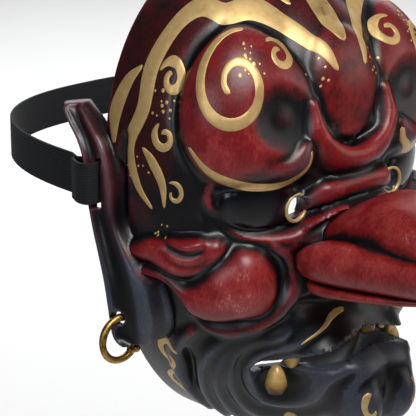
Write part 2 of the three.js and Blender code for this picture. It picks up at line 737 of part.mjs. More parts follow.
// Plan points of the loop round one ear's rear bar, from behind the bar through the slot and back
function barLoop(side) {
  const row = EAR.find((r) => r.up === STRAP_Z);
  const bar = SLOT.forward - SLOT.wide / 2;
  const clear = EAR_THICK / 2 + EAR_RIM_SWELL + STRAP_THICK / 2 + STRAP_CLEAR;
  const rearX = earPlace(row, (row.rear + bar) / 2);
  const frontX = earPlace(row, bar);
  const rearY = -row.rear + 1;
  const frontY = -bar + GAP;
  const slotY = -bar - STRAP_THICK / 2 - 0.4;
  const joinY = -row.rear + LOOP_JOIN_BEHIND;
  return [
    [side * (rearX - LOOP_JOIN_HALF), joinY],
    [side * (rearX - clear), rearY],
    [side * (frontX - clear), frontY],
    [side * (frontX - clear + LOOP_CORNER), slotY],
    [side * (frontX + clear - LOOP_CORNER), slotY],
    [side * (frontX + clear), frontY],
    [side * (rearX + clear), rearY],
    [side * (rearX + LOOP_JOIN_HALF), joinY],
  ];
}

function strapSolid() {
  const [joinX, frontY] = barLoop(1)[0];
  const points = [];
  for (let i = 0; i <= STRAP_STEPS; i++) {
    const angle = (i / STRAP_STEPS) * Math.PI;
    const c = Math.cos(angle);
    const x = STRAP_HALF_WIDTH * Math.sign(c) * Math.pow(Math.abs(c), STRAP_ROUND);
    const y = frontY + (STRAP_BACK - frontY) * Math.pow(Math.sin(angle), STRAP_ROUND);
    points.push([x, y]);
  }
  points[0][0] = joinX;
  points[STRAP_STEPS][0] = -joinX;
  return band(points).add(band(barLoop(1))).add(band(barLoop(-1)));
}

// Scene
const materials = {
  lacquer: { color: 0x5a1a1c, roughness: 0.45, metalness: 0 },
  gold: { color: 0xc9a35c, roughness: 0.45, metalness: 0.6 },
  brass: { color: 0xb08d4a, roughness: 0.35, metalness: 1 },
  elastic: { color: 0x15161b, roughness: 0.9, metalness: 0 },
};
const tengu = new THREE.Group();

function addPiece(name, solid, material) {
  const mesh = solid.getMesh();
  const geometry = new THREE.BufferGeometry();
  geometry.setAttribute('position', new THREE.BufferAttribute(mesh.vertProperties, 3));
  geometry.setIndex(new THREE.BufferAttribute(mesh.triVerts, 1));
  const piece = new THREE.Mesh(geometry, new THREE.MeshStandardMaterial(materials[material]));
  piece.name = name;
  tengu.add(piece);
}

addPiece('mask_shell', maskSolid(), 'lacquer');
addPiece('upper_teeth', teethRow(0), 'gold');
for (const [word, side] of [['right', -1], ['left', 1]]) {
  addPiece(`eye_rim_${word}`, wireRing(EYE_RIM_RADIUS, EYE_RIM_WIRE, 16, 6, eyeRimPlace(side), 'y'), 'gold');
  addPiece(`upper_fang_${word}`, fang(side, UPPER_FANG, 0), 'gold');
  addPiece(`lower_fang_${word}`, fang(side, LOWER_FANG, 0), 'gold');
  addPiece(`ear_hoop_${word}`, hoopSolid(side), 'brass');
}
addPiece('head_strap', strapSolid(), 'elastic');

export default tengu;
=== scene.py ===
# %% [markdown]
# The object is a stage mask of a tengu, a long-nosed demon. The real one is cast in resin, painted
# black, brushed with antique red, lined with gold and varnished. The hard model gives its size, its
# pieces and its moving parts. This file gives it its sculpted skin, its paint and its light.

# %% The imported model
import math
import bpy
import bmesh
import numpy as np
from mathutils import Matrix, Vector
from mathutils.bvhtree import BVHTree
from mathutils.kdtree import KDTree


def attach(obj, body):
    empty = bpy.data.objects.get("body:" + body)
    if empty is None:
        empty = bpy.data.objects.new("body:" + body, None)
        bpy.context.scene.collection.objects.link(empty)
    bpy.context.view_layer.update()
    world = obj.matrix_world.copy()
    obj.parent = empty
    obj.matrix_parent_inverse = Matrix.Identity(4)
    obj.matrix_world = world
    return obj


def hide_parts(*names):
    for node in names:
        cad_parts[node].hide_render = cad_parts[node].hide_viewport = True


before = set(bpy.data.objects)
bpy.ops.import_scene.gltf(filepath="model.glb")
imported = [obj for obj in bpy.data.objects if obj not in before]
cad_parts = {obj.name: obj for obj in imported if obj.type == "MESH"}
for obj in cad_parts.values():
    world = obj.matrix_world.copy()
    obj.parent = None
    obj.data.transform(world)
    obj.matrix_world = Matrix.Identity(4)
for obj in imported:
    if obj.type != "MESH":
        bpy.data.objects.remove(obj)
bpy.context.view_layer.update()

MM = 0.001

# %% [markdown]
# The photograph looks at the mask's right cheek, from a little above. A long lens far away keeps the
# nose from swelling. The camera is placed by the point on the face that one pixel shows.

# %% Camera
YAW = math.radians(43)
RISE = math.radians(17.7)
DISTANCE = 900
FOCAL_PIXELS = 1890
PHOTO_PIXELS = 416
SENSOR = 36
AIM_POINT = Vector((0, -70, 0))
AIM_PIXEL = (342, 194)

backward = Vector((-math.sin(YAW) * math.cos(RISE), -math.cos(YAW) * math.cos(RISE), math.sin(RISE)))
rightward = Vector((math.cos(YAW), -math.sin(YAW), 0))
upward = backward.cross(rightward)
pixel_mm = DISTANCE / FOCAL_PIXELS
middle = PHOTO_PIXELS / 2
eye_point = (AIM_POINT + backward * DISTANCE - rightward * (AIM_PIXEL[0] - middle) * pixel_mm
             + upward * (AIM_PIXEL[1] - middle) * pixel_mm)
camera_data = bpy.data.cameras.new("photo_camera")
camera_data.sensor_width = SENSOR
camera_data.lens = FOCAL_PIXELS * SENSOR / PHOTO_PIXELS
camera_data.clip_start = 0.01
camera_data.clip_end = 50
camera = bpy.data.objects.new("photo_camera", camera_data)
bpy.context.scene.collection.objects.link(camera)
camera.location = eye_point * MM
camera.rotation_euler = backward.to_track_quat("Z", "Y").to_euler()
bpy.context.scene.camera = camera
print("camera at", [round(v) for v in eye_point], "mm, lens", round(camera_data.lens), "mm")

# %% [markdown]
# The head form under the carving is a plain rounded solid: at each height a superellipse whose half
# width and depth come from two curves. Sculptors block out a head in the same way. The face map
# unrolls it onto a drum, so that each fold can be written with two plain measures: millimetres out
# from the middle, and height.

# %% Plain head form
HALF_WIDTH = 88
DEPTH = 76
WIDEST_Z = 12
CROWN_Z = 114
CHIN_Z = -128
WALL = 4
ROUND_WIDTH = (2.3, 2.1)
ROUND_DEPTH = (2.0, 3.4)
ROUND_PLAN = 2.5
DRUM_RADIUS = 85
HEART = np.array([0.0, 0.0, -5.0])


def super_root(t, power):
    """Falls from 1 to 0 along a superellipse as t goes from 0 to 1."""
    return np.maximum(0, 1 - t ** power) ** (1 / power)


def head_section(z):
    """Half width and depth of the head form at a height."""
    z = np.asarray(z, float)
    above = z > WIDEST_Z
    span = np.where(above, CROWN_Z - WIDEST_Z, WIDEST_Z - CHIN_Z)
    t = np.minimum(np.abs(z - WIDEST_Z) / span, 0.9999)
    wide = HALF_WIDTH * np.where(above, super_root(t, ROUND_WIDTH[0]), super_root(t, ROUND_WIDTH[1]))
    deep = DEPTH * np.where(above, super_root(t, ROUND_DEPTH[0]), super_root(t, ROUND_DEPTH[1]))
    return wide, deep


print("head form", 2 * HALF_WIDTH, "by", DEPTH, "by", CROWN_Z - CHIN_Z, "mm")

# %% Rays and the face map
FARTHEST = 220.0
HALVINGS = 24


def plain_radius(directions):
    """How far each ray from the heart runs before it leaves the head form, found by halving."""
    low = np.zeros(len(directions))
    high = np.full(len(directions), FARTHEST)
    for _ in range(HALVINGS):
        half = (low + high) / 2
        p = HEART + directions * half[:, None]
        wide, deep = head_section(p[:, 2])
        inside = (np.abs(p[:, 0]) / wide) ** ROUND_PLAN + (np.abs(p[:, 1]) / deep) ** ROUND_PLAN < 1
        inside &= (p[:, 2] < CROWN_Z) & (p[:, 2] > CHIN_Z)
        low = np.where(inside, half, low)
        high = np.where(inside, high, half)
    return (low + high) / 2


def face_map(points):
    """Distance out from the middle, unrolled, and height of points on the head form."""
    wide, deep = head_section(points[:, 2])
    side = (np.abs(points[:, 0]) / wide) ** (ROUND_PLAN / 2)
    front = (np.abs(points[:, 1]) / deep) ** (ROUND_PLAN / 2)
    return np.arctan2(side, front) * DRUM_RADIUS, points[:, 2]


def from_map(out, up, side):
    """The point of the head form at a place on the map, on the right (-1) or left (1) side."""
    wide, deep = head_section(up)
    turn = np.asarray(out, float) / DRUM_RADIUS
    x = side * wide * np.sign(np.sin(turn)) * np.abs(np.sin(turn)) ** (2 / ROUND_PLAN)
    y = -deep * np.abs(np.cos(turn)) ** (2 / ROUND_PLAN)
    return np.stack([x, y, np.broadcast_to(np.asarray(up, float), x.shape)], -1)


corner = from_map(60, 0, 1)
print("60 mm out at eye height is", [round(float(v)) for v in corner], "mm")

# %% [markdown]
# A tengu's face is all rolls: brow, cheeks and lips are fat folds that meet in sharp creases. They
# could be sculpted by hand with a clay brush. Here each roll is a row: a smooth line through a few
# places on the face map, with a width at each, swept by a round profile. Where rolls meet the higher
# one wins, which gives the crease by itself.

# %% Swells
# name, kind, out, up, half across, half high, rise, edge (0.5 is a ball, 2 a soft mound)
SWELLS = [
    ("muzzle", "pushed", 0, -76, 68, 58, 18, 2),
    ("chin", "pushed", 10, -106, 38, 50, 25, 1.6),
    ("upper_lip_back", "pushed", 8, -60, 34, 14, -4.5, 1.3),
    ("brow_dome", "proud", 54, 47, 39, 37, 12, 0.55),
    ("brow_dish", "soft", 34, 42, 18, 15, -5.5, 1),
    ("dish_middle", "soft", 34, 43, 7, 6, 1, 1.5),
    ("brow_middle", "soft", 0, 68, 26, 32, 5, 1.5),
    ("brow_tongue", "proud", 0, 53, 17, 25, 5, 0.75),
    ("eye_socket", "soft", 45, 3, 34, 19, -9, 1),
    ("under_nose", "soft", 14, -49, 20, 9, -6, 1),
    ("fang_bowl", "soft", 46, -86, 12, 10, -6, 0.8),
    ("nose_root", "proud", 0, -16, 27, 13, 9, 0.7),
    ("eyeball", "proud", 46, 4.5, 25, 13.5, 9.5, 0.6),
    ("chin_lobe", "proud", 14, -98, 12.5, 15, 9, 0.5),
    ("jaw_lobe", "proud", 38, -118, 12, 12, 5, 0.6),
]
print(len(SWELLS), "swells")

# %% Folds
# name, rise, edge, then a place for each knot: out, up, width
FOLDS = [
    ("brow_roll", 9.5, 0.6, [(62, 17, 8), (50, 18.5, 13), (40, 19, 16), (31, 20.5, 17), (25.5, 24.5, 15),
                             (24, 29, 11)]),
    ("brow_u", 8.5, 0.6, [(18, 45, 11), (17, 37, 15), (13, 29, 16), (7, 21.5, 15), (0, 19, 14)]),
    ("root_fold_high", 7, 0.6, [(0, 7, 13), (8, 6.5, 13), (15, 5, 12), (22, 2, 8)]),
    ("root_fold_low", 9.5, 0.6, [(0, -1.5, 4.5), (8, -2, 4.5), (16, -4.5, 4.5), (22, -8, 3)]),
    ("outer_lid", 3, 0.6, [(72, 20, 2), (75, 13, 4), (74, 6, 4), (69.5, 0, 2.5)]),
    ("lower_lid", 4, 0.6, [(69, 0, 2.5), (66, -5, 4), (57, -9.5, 5.5), (48, -11.5, 6), (39, -12, 6),
                           (31, -12, 5.5), (25, -10.5, 4.5), (20, -6, 3)]),
    ("nose_side", 3, 0.8, [(38, -19, 4), (31, -17.5, 8), (25, -14, 11), (20, -10, 11)]),
    ("cheek_roll", 8, 0.6, [(128, -21, 8), (122, -20.5, 9), (112, -19, 12), (105, -18.5, 15), (98, -20, 19),
                            (91, -20.5, 21), (84, -19.5, 21), (77, -17.5, 17), (70, -14.5, 11)]),
    ("cheek_leaf", 9.6, 0.6, [(97, -11, 2), (91, -12, 5), (84, -12, 6), (78, -11, 4.5)]),
    ("cheek_ball", 12.5, 0.55, [(122, -28, 5), (112, -28, 6.5), (104, -28.5, 6.5), (97, -31.5, 7),
                                (91, -35.5, 11), (84, -38.5, 19), (75, -37.5, 26), (65, -34, 32),
                                (55, -31.5, 35)]),
    ("cheek_ring", 5, 0.7, [(90, -48, 4), (80, -54.5, 7), (70, -56, 9), (60, -55, 9), (50, -52, 9),
                            (41, -47, 8.5), (33.5, -41, 8), (30, -34, 7.5), (30, -26, 7), (34, -19, 6),
                            (41, -15, 4)]),
    ("upper_lip", 1.4, 0.7, [(0, -60.5, 4), (8, -62, 4.5), (15, -65, 4.5), (22, -68, 5), (30, -70, 5),
                             (38, -71.5, 5), (45, -73.5, 5), (50, -77, 4)]),
    ("upper_ring", 3, 0.7, [(16, -57, 3), (25, -60, 6), (34, -63, 7), (43, -65.5, 7.5), (51, -67.5, 7.5)]),
    ("mouth_ring", 4.5, 0.7, [(46, -66, 5), (51, -67.5, 7), (57, -71, 7), (61, -77, 7), (62, -84, 7),
                              (60, -91, 7), (54, -97, 7), (46, -99.5, 6.5), (39, -97.5, 6), (34.5, -92, 6),
                              (32, -86, 6),
                              (28, -80, 6), (22, -76, 5.5), (14, -73, 5), (8, -71.8, 4.5), (0, -71.3, 4)]),
    ("mouth_fold_1", 4, 0.7, [(36, -57, 4), (44, -60, 7), (54, -61.5, 8), (63, -66, 8), (69, -72, 8),
                              (73, -80, 9), (74, -90, 9), (71, -100, 9), (63, -107, 9), (52, -111, 9),
                              (40, -110, 8), (31, -103, 7), (26, -94, 6), (22, -85, 6),
                              (15, -79, 6), (7, -76.5, 5), (0, -76, 5)]),
    ("mouth_fold_2", 4, 0.7, [(50, -57, 4), (58, -60, 7), (67, -64.5, 8), (74, -70, 9), (80, -77, 9),
                              (84, -87, 10), (85, -98, 10), (81, -110, 10), (71, -119, 8)]),
    ("mouth_fold_3", 4, 0.7, [(62, -59, 4), (71, -61.5, 7), (78, -65.5, 8), (85, -71, 9), (91, -79, 9),
                              (95, -90, 10), (96, -102, 10), (92, -114, 9)]),
    ("jaw_fold", 4, 0.8, [(90, -58, 5), (98, -63, 8), (106, -71, 10), (110, -83, 11), (109, -98, 11),
                          (104, -110, 8)]),
]
# the same columns, but cut in
GROOVES = [
    ("dome_crease", 1.5, 1, [(60, 12, 4), (74, 18, 6), (87, 28, 7), (93, 44, 8), (92, 60, 7), (84, 76, 6),
                             (66, 86, 3)]),
    ("u_crease", 4.5, 0.8, [(14, 47, 2), (12, 39, 3.5), (8.5, 31, 4), (0, 26.5, 4)]),
    ("leaf_line", 2, 1, [(97, -14, 2), (90, -16.2, 3), (84, -16.6, 3), (77, -14.5, 2)]),
    ("leaf_groove", 1.4, 1, [(101, -16, 2), (94, -20, 3), (87, -21.5, 3), (79, -20, 3), (73, -16, 2)]),
    ("ear_recess", 6, 0.8, [(124, 34, 3), (126, 18, 6), (127, 4, 8), (127, -8, 8), (126, -16, 5)]),
    ("lobe_crease", 3.5, 1, [(117, -31, 4), (121, -42, 7), (118, -49, 7), (115.5, -56, 7), (120, -63, 6),
                             (124, -70, 4)]),
    ("jaw_slit", 5, 1, [(99, -72, 3), (99.5, -78, 5), (101, -86, 5), (104, -94, 3)]),
    ("muzzle_hollow", 2.5, 1, [(34, -46, 5), (26, -49, 8), (18, -52, 7), (10, -53, 4)]),
]
print(len(FOLDS), "folds and", len(GROOVES), "grooves")

# %% Smooth lines
KNOT_STEPS = 6


def through(rows, places):
    """Smooth values through rows that have one spare row at each end, at places counted in rows."""
    at = np.minimum(places.astype(int), len(rows) - 4)
    k = (places - at)[:, None]
    a, b, c, d = (rows[at + n] for n in range(4))
    return 0.5 * (2 * b + (c - a) * k + (2 * a - 5 * b + 4 * c - d) * k ** 2
                  + (3 * b - a - 3 * c + d) * k ** 3)


def smooth_line(knots):
    """A line through the knots of a fold or a stroke, a few steps between each pair."""
    knots = np.array(knots, float)
    padded = np.vstack([2 * knots[0] - knots[1], knots, 2 * knots[-1] - knots[-2]])
    return through(padded, np.arange((len(knots) - 1) * KNOT_STEPS + 1) / KNOT_STEPS)


def smooth_rows(rows, steps):
    """The rows of a table of sections, taken up in many small steps."""
    rows = np.array(rows, float)
    return through(np.vstack([rows[:1], rows, rows[-1:]]), np.linspace(0, len(rows) - 1, steps + 1))


print("a knot line takes", KNOT_STEPS, "steps between two knots")


# %% Carved relief
def fold_share(out, up, knots):
    """1 on the fold's middle line where it is widest, falling to 0 at its edge."""
    line = smooth_line(knots)
    half = line[:, 2] / 2
    widest = half.max()
    share = np.zeros(out.shape)
    near = ((out > line[:, 0].min() - widest) & (out < line[:, 0].max() + widest)
            & (up > line[:, 1].min() - widest) & (up < line[:, 1].max() + widest))
    u, v = out[near], up[near]
    best = np.zeros(u.shape)
    for a, b, ha, hb in zip(line[:-1], line[1:], half[:-1], half[1:]):
        du, dv = b[0] - a[0], b[1] - a[1]
        k = np.clip(((u - a[0]) * du + (v - a[1]) * dv) / (du * du + dv * dv), 0, 1)
        gap = np.hypot(u - a[0] - k * du, v - a[1] - k * dv)
        width = ha + (hb - ha) * k
        best = np.maximum(best, np.clip(1 - (gap / width) ** 2, 0, 1) * (width / widest) ** 0.7)
    share[near] = best
    return share


def relief(out, up):
    """How far the carving stands off the plain form, and how far it is pushed forward."""
    ground = np.zeros(out.shape)
    pushed = np.zeros(out.shape)
    proud = np.zeros(out.shape)
    sunk = np.zeros(out.shape)
    for name, kind, at_out, at_up, across, high, rise, edge in SWELLS:
        q = np.clip(np.hypot((out - at_out) / across, (up - at_up) / high), 0, 1)
        height = rise * (1 - q * q) ** edge
        if kind == "soft":
            ground += height
        elif kind == "pushed":
            pushed += height
        else:
            proud = np.maximum(proud, height)
    for name, rise, edge, knots in FOLDS:
        proud = np.maximum(proud, rise * fold_share(out, up, knots) ** edge)
    for name, rise, edge, knots in GROOVES:
        sunk = np.maximum(sunk, rise * fold_share(out, up, knots) ** edge)
    return ground + proud - sunk, pushed


def on_face(out, up, side, lift):
    """Points on the carved face at places on the face map, standing off it by lift."""
    out, up = np.asarray(out, float), np.asarray(up, float)
    plain = from_map(out, up, side)
    ray = plain - HEART
    ray /= np.linalg.norm(ray, axis=-1, keepdims=True)
    stand, pushed = relief(np.abs(out), up)
    points = plain + ray * (stand + lift)[..., None]
    points[..., 1] -= pushed
    return points


nose_root = relief(np.zeros(1), np.full(1, -16.0))[0][0]
print("nose root stands", round(float(nose_root), 1), "mm off the head form")

# %% [markdown]
# The skin is a square grid of rays from the heart of the head, bent into a disc so that no point is
# crowded, and each ray is cut where it meets the carved form. A grid keeps the folds even and clean,
# where a remesh would blur them. About 1.1 mm between points shows every crease in the picture.

# %% Mesh helpers
def mesh_object(name, points, faces):
    """A mesh object from points in millimetres, its faces turned to point out."""
    mesh = bpy.data.meshes.new(name)
    mesh.from_pydata((np.asarray(points, float) * MM).tolist(), [], faces)
    shape = bmesh.new()
    shape.from_mesh(mesh)
    bmesh.ops.recalc_face_normals(shape, faces=shape.faces)
    shape.to_mesh(mesh)
    shape.free()
    thing = bpy.data.objects.new(name, mesh)
    bpy.context.scene.collection.objects.link(thing)
    return thing


def combine(base, tool, operation):
    """Joins or cuts two closed meshes, and removes the tool."""
    bpy.context.view_layer.update()
    change = base.modifiers.new("change", "BOOLEAN")
    change.object = tool
    change.operation = operation
    change.solver = "MANIFOLD"
    shaped = bpy.data.meshes.new_from_object(base.evaluated_get(bpy.context.evaluated_depsgraph_get()))
    base.modifiers.clear()
    old = base.data
    base.data = shaped
    bpy.data.meshes.remove(old)
    bpy.data.objects.remove(tool)


print("meshes are made in millimetres, kept in metres")


# %% Grid of rays
def grid_rays(cells):
    """Directions over the front half of a ball, as a square grid bent into a disc."""
    t = np.linspace(-1, 1, cells + 1)
    a, b = np.meshgrid(t, t, indexing="ij")
    x = a * np.sqrt(1 - b * b / 2)
    z = b * np.sqrt(1 - a * a / 2)
    r = np.minimum(1, np.hypot(x, z))
    on_rim = (np.abs(a) == 1) | (np.abs(b) == 1)
    k = np.where(on_rim, 1, np.sin(r * math.pi / 2)) / np.maximum(r, 1e-9)
    forward = np.where(on_rim, 0, -np.cos(r * math.pi / 2))
    rays = np.stack([x * k, forward, z * k], -1).reshape(-1, 3)
    return rays / np.linalg.norm(rays, axis=1, keepdims=True)


def sheet_faces(cells):
    """The grid's square faces, and its rim in order."""
    index = np.arange((cells + 1) ** 2).reshape(cells + 1, cells + 1)
    faces = np.stack([index[:-1, :-1], index[1:, :-1], index[1:, 1:], index[:-1, 1:]], -1)
    rim = np.concatenate([index[:-1, 0], index[-1, :-1], index[:0:-1, -1], index[0, :0:-1]])
    return faces.reshape(-1, 4).tolist(), rim.tolist()


def closed_sheet(name, points, cells, back):
    """The grid, carried back to a flat fan behind it."""
    faces, rim = sheet_faces(cells)
    points = np.asarray(points)
    start = len(points)
    edge = points[rim].copy()
    edge[:, 1] = back
    points = np.vstack([points, edge, [[0, back, HEART[2]]]])
    centre = len(points) - 1
    count = len(rim)
    for k in range(count):
        n = (k + 1) % count
        faces.append([rim[k], rim[n], start + n, start + k])
        faces.append([start + k, start + n, centre])
    return mesh_object(name, points, faces)


print("a grid of 2 by 2 cells has", len(sheet_faces(2)[1]), "points on its rim")


# %% Skins over rings
def band_faces(rows, sides, start=0, closed=False):
    """Square faces between rings of points; closed also joins the last ring to the first."""
    faces = []
    for r in range(rows if closed else rows - 1):
        for s in range(sides):
            n, m = (s + 1) % sides, (r + 1) % rows
            faces.append([start + k for k in (r * sides + s, r * sides + n, m * sides + n, m * sides + s)])
    return faces


def ring_skin(name, rings):
    """Skin over rings of equal length, closed by a fan at each end."""
    rings = np.asarray(rings, float)
    count, sides = rings.shape[:2]
    points = np.vstack([rings.reshape(-1, 3), rings[0].mean(0), rings[-1].mean(0)])
    faces = band_faces(count, sides)
    for s in range(sides):
        n = (s + 1) % sides
        faces.append([n, s, count * sides])
        faces.append([(count - 1) * sides + s, (count - 1) * sides + n, count * sides + 1])
    return mesh_object(name, points, faces)


print("a tube of 2 rings of 8 has", len(band_faces(2, 8)), "faces")

# %% Face skin
SKIN_CELLS = 236
# the skin's rim and its flat back, just behind the plane where the casting ends
RIM_BACK = 0.02
CAP_BACK = 0.05


def soften_grid(values, cells):
    """Each point moves toward the mean of its neighbours on the grid."""
    grid = np.pad(values.reshape(cells + 1, cells + 1), 1, mode="edge")
    rows = (grid[:-2] + 2 * grid[1:-1] + grid[2:]) / 4
    return ((rows[:, :-2] + 2 * rows[:, 1:-1] + rows[:, 2:]) / 4).ravel()


rays = grid_rays(SKIN_CELLS)
radius = plain_radius(rays)
skin_out, skin_up = face_map(HEART + rays * radius[:, None])
skin_stand, skin_push = relief(skin_out, skin_up)
skin_stand = soften_grid(skin_stand, SKIN_CELLS)
skin_points = HEART + rays * (radius + skin_stand)[:, None]
skin_points[:, 1] -= skin_push
on_rim = np.abs(rays[:, 1]) < 1e-9
skin_points[on_rim, 1] = RIM_BACK
shell = closed_sheet("mask_skin", skin_points, SKIN_CELLS, CAP_BACK)
print("skin of", len(skin_points), "points")

# %% [markdown]
# A casting is hollow, and its inside is smoother than its outside, because resin fills the folds. So
# the hollow is a coarser grid that takes the lowest relief nearby, set a wall's thickness inward. The
# upper lip keeps a thicker wall, so that the teeth have something to stand behind.

# %% Hollow
HOLLOW_CELLS = 80
HOLLOW_BACK = 8
LOWEST_PASSES = 2
BLUR_PASSES = 4
LIP_WALL_EXTRA = 5
# centre height, half across and half high of the thicker wall behind the upper lip
LIP_WALL_SPOT = (-62, 40, 14)


def lowest_near(values, cells):
    """Each point takes the lowest value among itself and its eight neighbours."""
    grid = np.pad(values.reshape(cells + 1, cells + 1), 1, mode="edge")
    rows = np.minimum(np.minimum(grid[:-2], grid[1:-1]), grid[2:])
    return np.minimum(np.minimum(rows[:, :-2], rows[:, 1:-1]), rows[:, 2:]).ravel()


inner_rays = grid_rays(HOLLOW_CELLS)
inner_radius = plain_radius(inner_rays)
inner_out, inner_up = face_map(HEART + inner_rays * inner_radius[:, None])
inner_stand, inner_push = relief(inner_out, inner_up)
for _ in range(LOWEST_PASSES):
    inner_stand = lowest_near(inner_stand, HOLLOW_CELLS)
for _ in range(BLUR_PASSES):
    inner_stand = np.minimum(inner_stand, soften_grid(inner_stand, HOLLOW_CELLS))
inner_points = HEART + inner_rays * (inner_radius + inner_stand - WALL)[:, None]
at_up, across, high = LIP_WALL_SPOT
behind_lip = np.exp(-(inner_out / across) ** 4 - ((inner_up - at_up) / high) ** 4)
inner_points[:, 1] -= inner_push - LIP_WALL_EXTRA * behind_lip
inner_points[np.abs(inner_rays[:, 1]) < 1e-9, 1] = 0
hollow = closed_sheet("hollow", inner_points, HOLLOW_CELLS, HOLLOW_BACK)
print("hollow of", len(inner_points), "points")

# %% [markdown]
# The nose is a separate form in the clay too: a long bridge, with a roll down each side that starts
# as the nostril's wing, and a thin lip under it. Each is a loft of rounded sections along the nose.
# They are joined to the face by a boolean, which keeps the dark crease between the rolls.

# %% Nose
# forward, out, half wide, top, bottom
BRIDGE = [(60, 0, 20, -13, -29), (74, 0, 24.5, -7.5, -30), (88, 0, 25, 1.5, -31.5), (106, 0, 24.5, 9.5, -32),
          (130, 0, 25, 9, -31), (160, 0, 22, 7, -28), (182, 0, 20, 7, -27), (196, 0, 14, 3, -22),
          (202, 0, 4, -5, -13)]
WING = [(72, 31.5, 3.5, -21, -28), (82, 30, 9.5, -14.5, -32), (96, 25.5, 13, -11, -33.5),
        (120, 18.5, 13.5, -10, -33), (150, 13, 12, -7, -30), (180, 9, 9, -6, -25), (192, 6, 4, -10, -19)]
UNDER_WING = [(80, 32, 2, -33, -36), (87, 31, 6.5, -31, -38.5), (102, 26.5, 8.5, -31, -38),
              (124, 21, 7, -30.5, -36), (144, 16, 3, -30, -33)]
NOSE_HOLLOW = [(40, 0, 12, -9, -22), (70, 0, 12, -10, -22), (88, 0, 14, -6, -24), (106, 0, 17, 2, -25),
               (130, 0, 17, 4, -24), (160, 0, 14, 1, -21), (184, 0, 9, -2, -17), (190, 0, 3, -8, -12)]
NOSE_SQUARE = 2.3


def nose_loft(name, rows, side, sides, steps):
    """A skin over rounded sections along the nose, on the middle or on one side of it."""
    forward, out, wide, top, bottom = smooth_rows(rows, steps).T[:, :, None]
    angle = np.linspace(0, 2 * math.pi, sides, endpoint=False)[None]
    c, s = np.cos(angle), np.sin(angle)
    x = side * (out + wide * np.sign(c) * np.abs(c) ** (2 / NOSE_SQUARE))
    z = (top + bottom) / 2 + (top - bottom) / 2 * np.sign(s) * np.abs(s) ** (2 / NOSE_SQUARE)
    return ring_skin(name, np.stack([x, -forward + 0 * x, z], -1))


combine(shell, nose_loft("bridge", BRIDGE, 1, 72, 110), "UNION")
for side in (-1, 1):
    combine(shell, nose_loft("wing", WING, side, 48, 90), "UNION")
    combine(shell, nose_loft("under_wing", UNDER_WING, side, 32, 50), "UNION")
print("with nose:", len(shell.data.vertices), "points")

# %% [markdown]
# Each ear is a bent plate with a rolled rim in front and behind, slotted for the strap and pierced
# through the lobe. It leaves the head at its front edge and bends round to stand clear of it. A solid
# cut from a block would waste most of it, so it is a skin over thin sections, one for each height.

# %% Ears
# up, rear, front
EAR = [(-66, 20, 26), (-62, 14, 31), (-50, 11, 35), (-36, 8, 33), (-22, 4, 24), (-8, 0, 14), (10, -4, 12),
       (22, -5.6, 8), (30, -9.5, 3.5), (36, -14.5, -3.5), (41, -18, -10.5), (45, -21, -17)]
EAR_OUT = 96
EAR_THICK = 4.6
EAR_BURIED = 3
EAR_BEND = 0.8
EAR_PANEL = 0.9
EAR_ROLL = 3
# share of the plate's width where each roll runs, and its half width
EAR_ROLL_PLACES = [(0.1, 0.11), (0.66, 0.15)]
EAR_SHORTEST = 6


def ear_reach(up, rear, front, forward):
    """How far out the plate stands at a height and a distance forward."""
    near = head_section(up)[0] - EAR_BURIED
    t = np.clip((front - forward) / max(EAR_SHORTEST, front - rear), 0, 1)
    return near + (EAR_OUT - near) * np.sin(t * math.pi / 2) ** EAR_BEND


def ear_plate(side, across, steps):
    """A bent plate with a roll along its rear edge, its front and its top, which die out downward."""
    rings = []
    for height, (up, rear, front) in zip(np.linspace(0, 1, steps + 1), smooth_rows(EAR, steps)):
        share = np.linspace(0, 1, across + 1)
        forward = rear + (front - rear) * share
        rear_roll, front_roll = (np.exp(-((share - at) / half) ** 2) for at, half in EAR_ROLL_PLACES)
        top_roll = np.full(share.shape, height ** 14)
        edge = np.minimum(1, 0.45 + 3 * np.minimum(share, 1 - share))
        outer_half = (EAR_PANEL + EAR_ROLL * np.maximum.reduce([rear_roll, front_roll, top_roll])) * edge
        inner_half = EAR_THICK / 2 * edge
        reach = ear_reach(up, rear, front, forward)
        turn = np.arctan2(reach - ear_reach(up, rear, front, forward + 0.5), 0.5)
        outer, inner = (np.stack([side * (reach + off * np.cos(turn)), -(forward + off * np.sin(turn)),
                                  np.full(share.shape, up)], -1) for off in (outer_half, -inner_half))
        rings.append(np.vstack([outer, inner[::-1]]))
    return ring_skin("ear", rings)


for side in (-1, 1):
    combine(shell, ear_plate(side, 28, 100), "UNION")
print("with ears:", len(shell.data.vertices), "points")

# %% [markdown]
# The openings are cut last, as they are on a casting: the hollow behind, the two eye holes in their
# seats, the long mouth, the strap slots and the holes in the lobes.

# %% Openings
EYE_OUT = 32.8
EYE_Z = 0.6
EYE_HOLE_RADIUS = 5.4
EYE_HOLE_CUT = (40, 100)
# from, to, rear radius and front radius of the cone that carries each eye rim
EYE_SEAT = (56, 71.2, 7.5, 6.9)
# out, height of the upper lip's edge, height of the lower lip's edge
LIPS = [(0, -62.5, -69.5), (8, -63.7, -70), (15, -65.5, -71.2), (22, -68, -73.6), (28, -70, -76.6),
        (34, -71.8, -79.5), (41, -73.6, -82.2), (46, -75.2, -82), (50.5, -78, -79)]
MOUTH_CUT = (38, 125)
SLOT_FORWARD = 2.6
SLOT_HALF_DEEP = 2.2
SLOT_UP = 10
SLOT_HALF_TALL = 12
SLOT_CUT = (84, 124)
LOBE_HOLE = (95, 17, -53)
LOBE_HOLE_RADIUS = 3.2
LOBE_CUT = 9


def lip_z(out, lip=1):
    """Height of the upper (1) or lower (2) lip's edge at a distance from the middle."""
    at = np.array([row[0] for row in LIPS], float)
    return np.interp(np.abs(out), at, [row[lip] for row in LIPS])


print("mouth", 2 * LIPS[-1][0], "mm wide, eye holes", 2 * EYE_OUT, "mm apart")


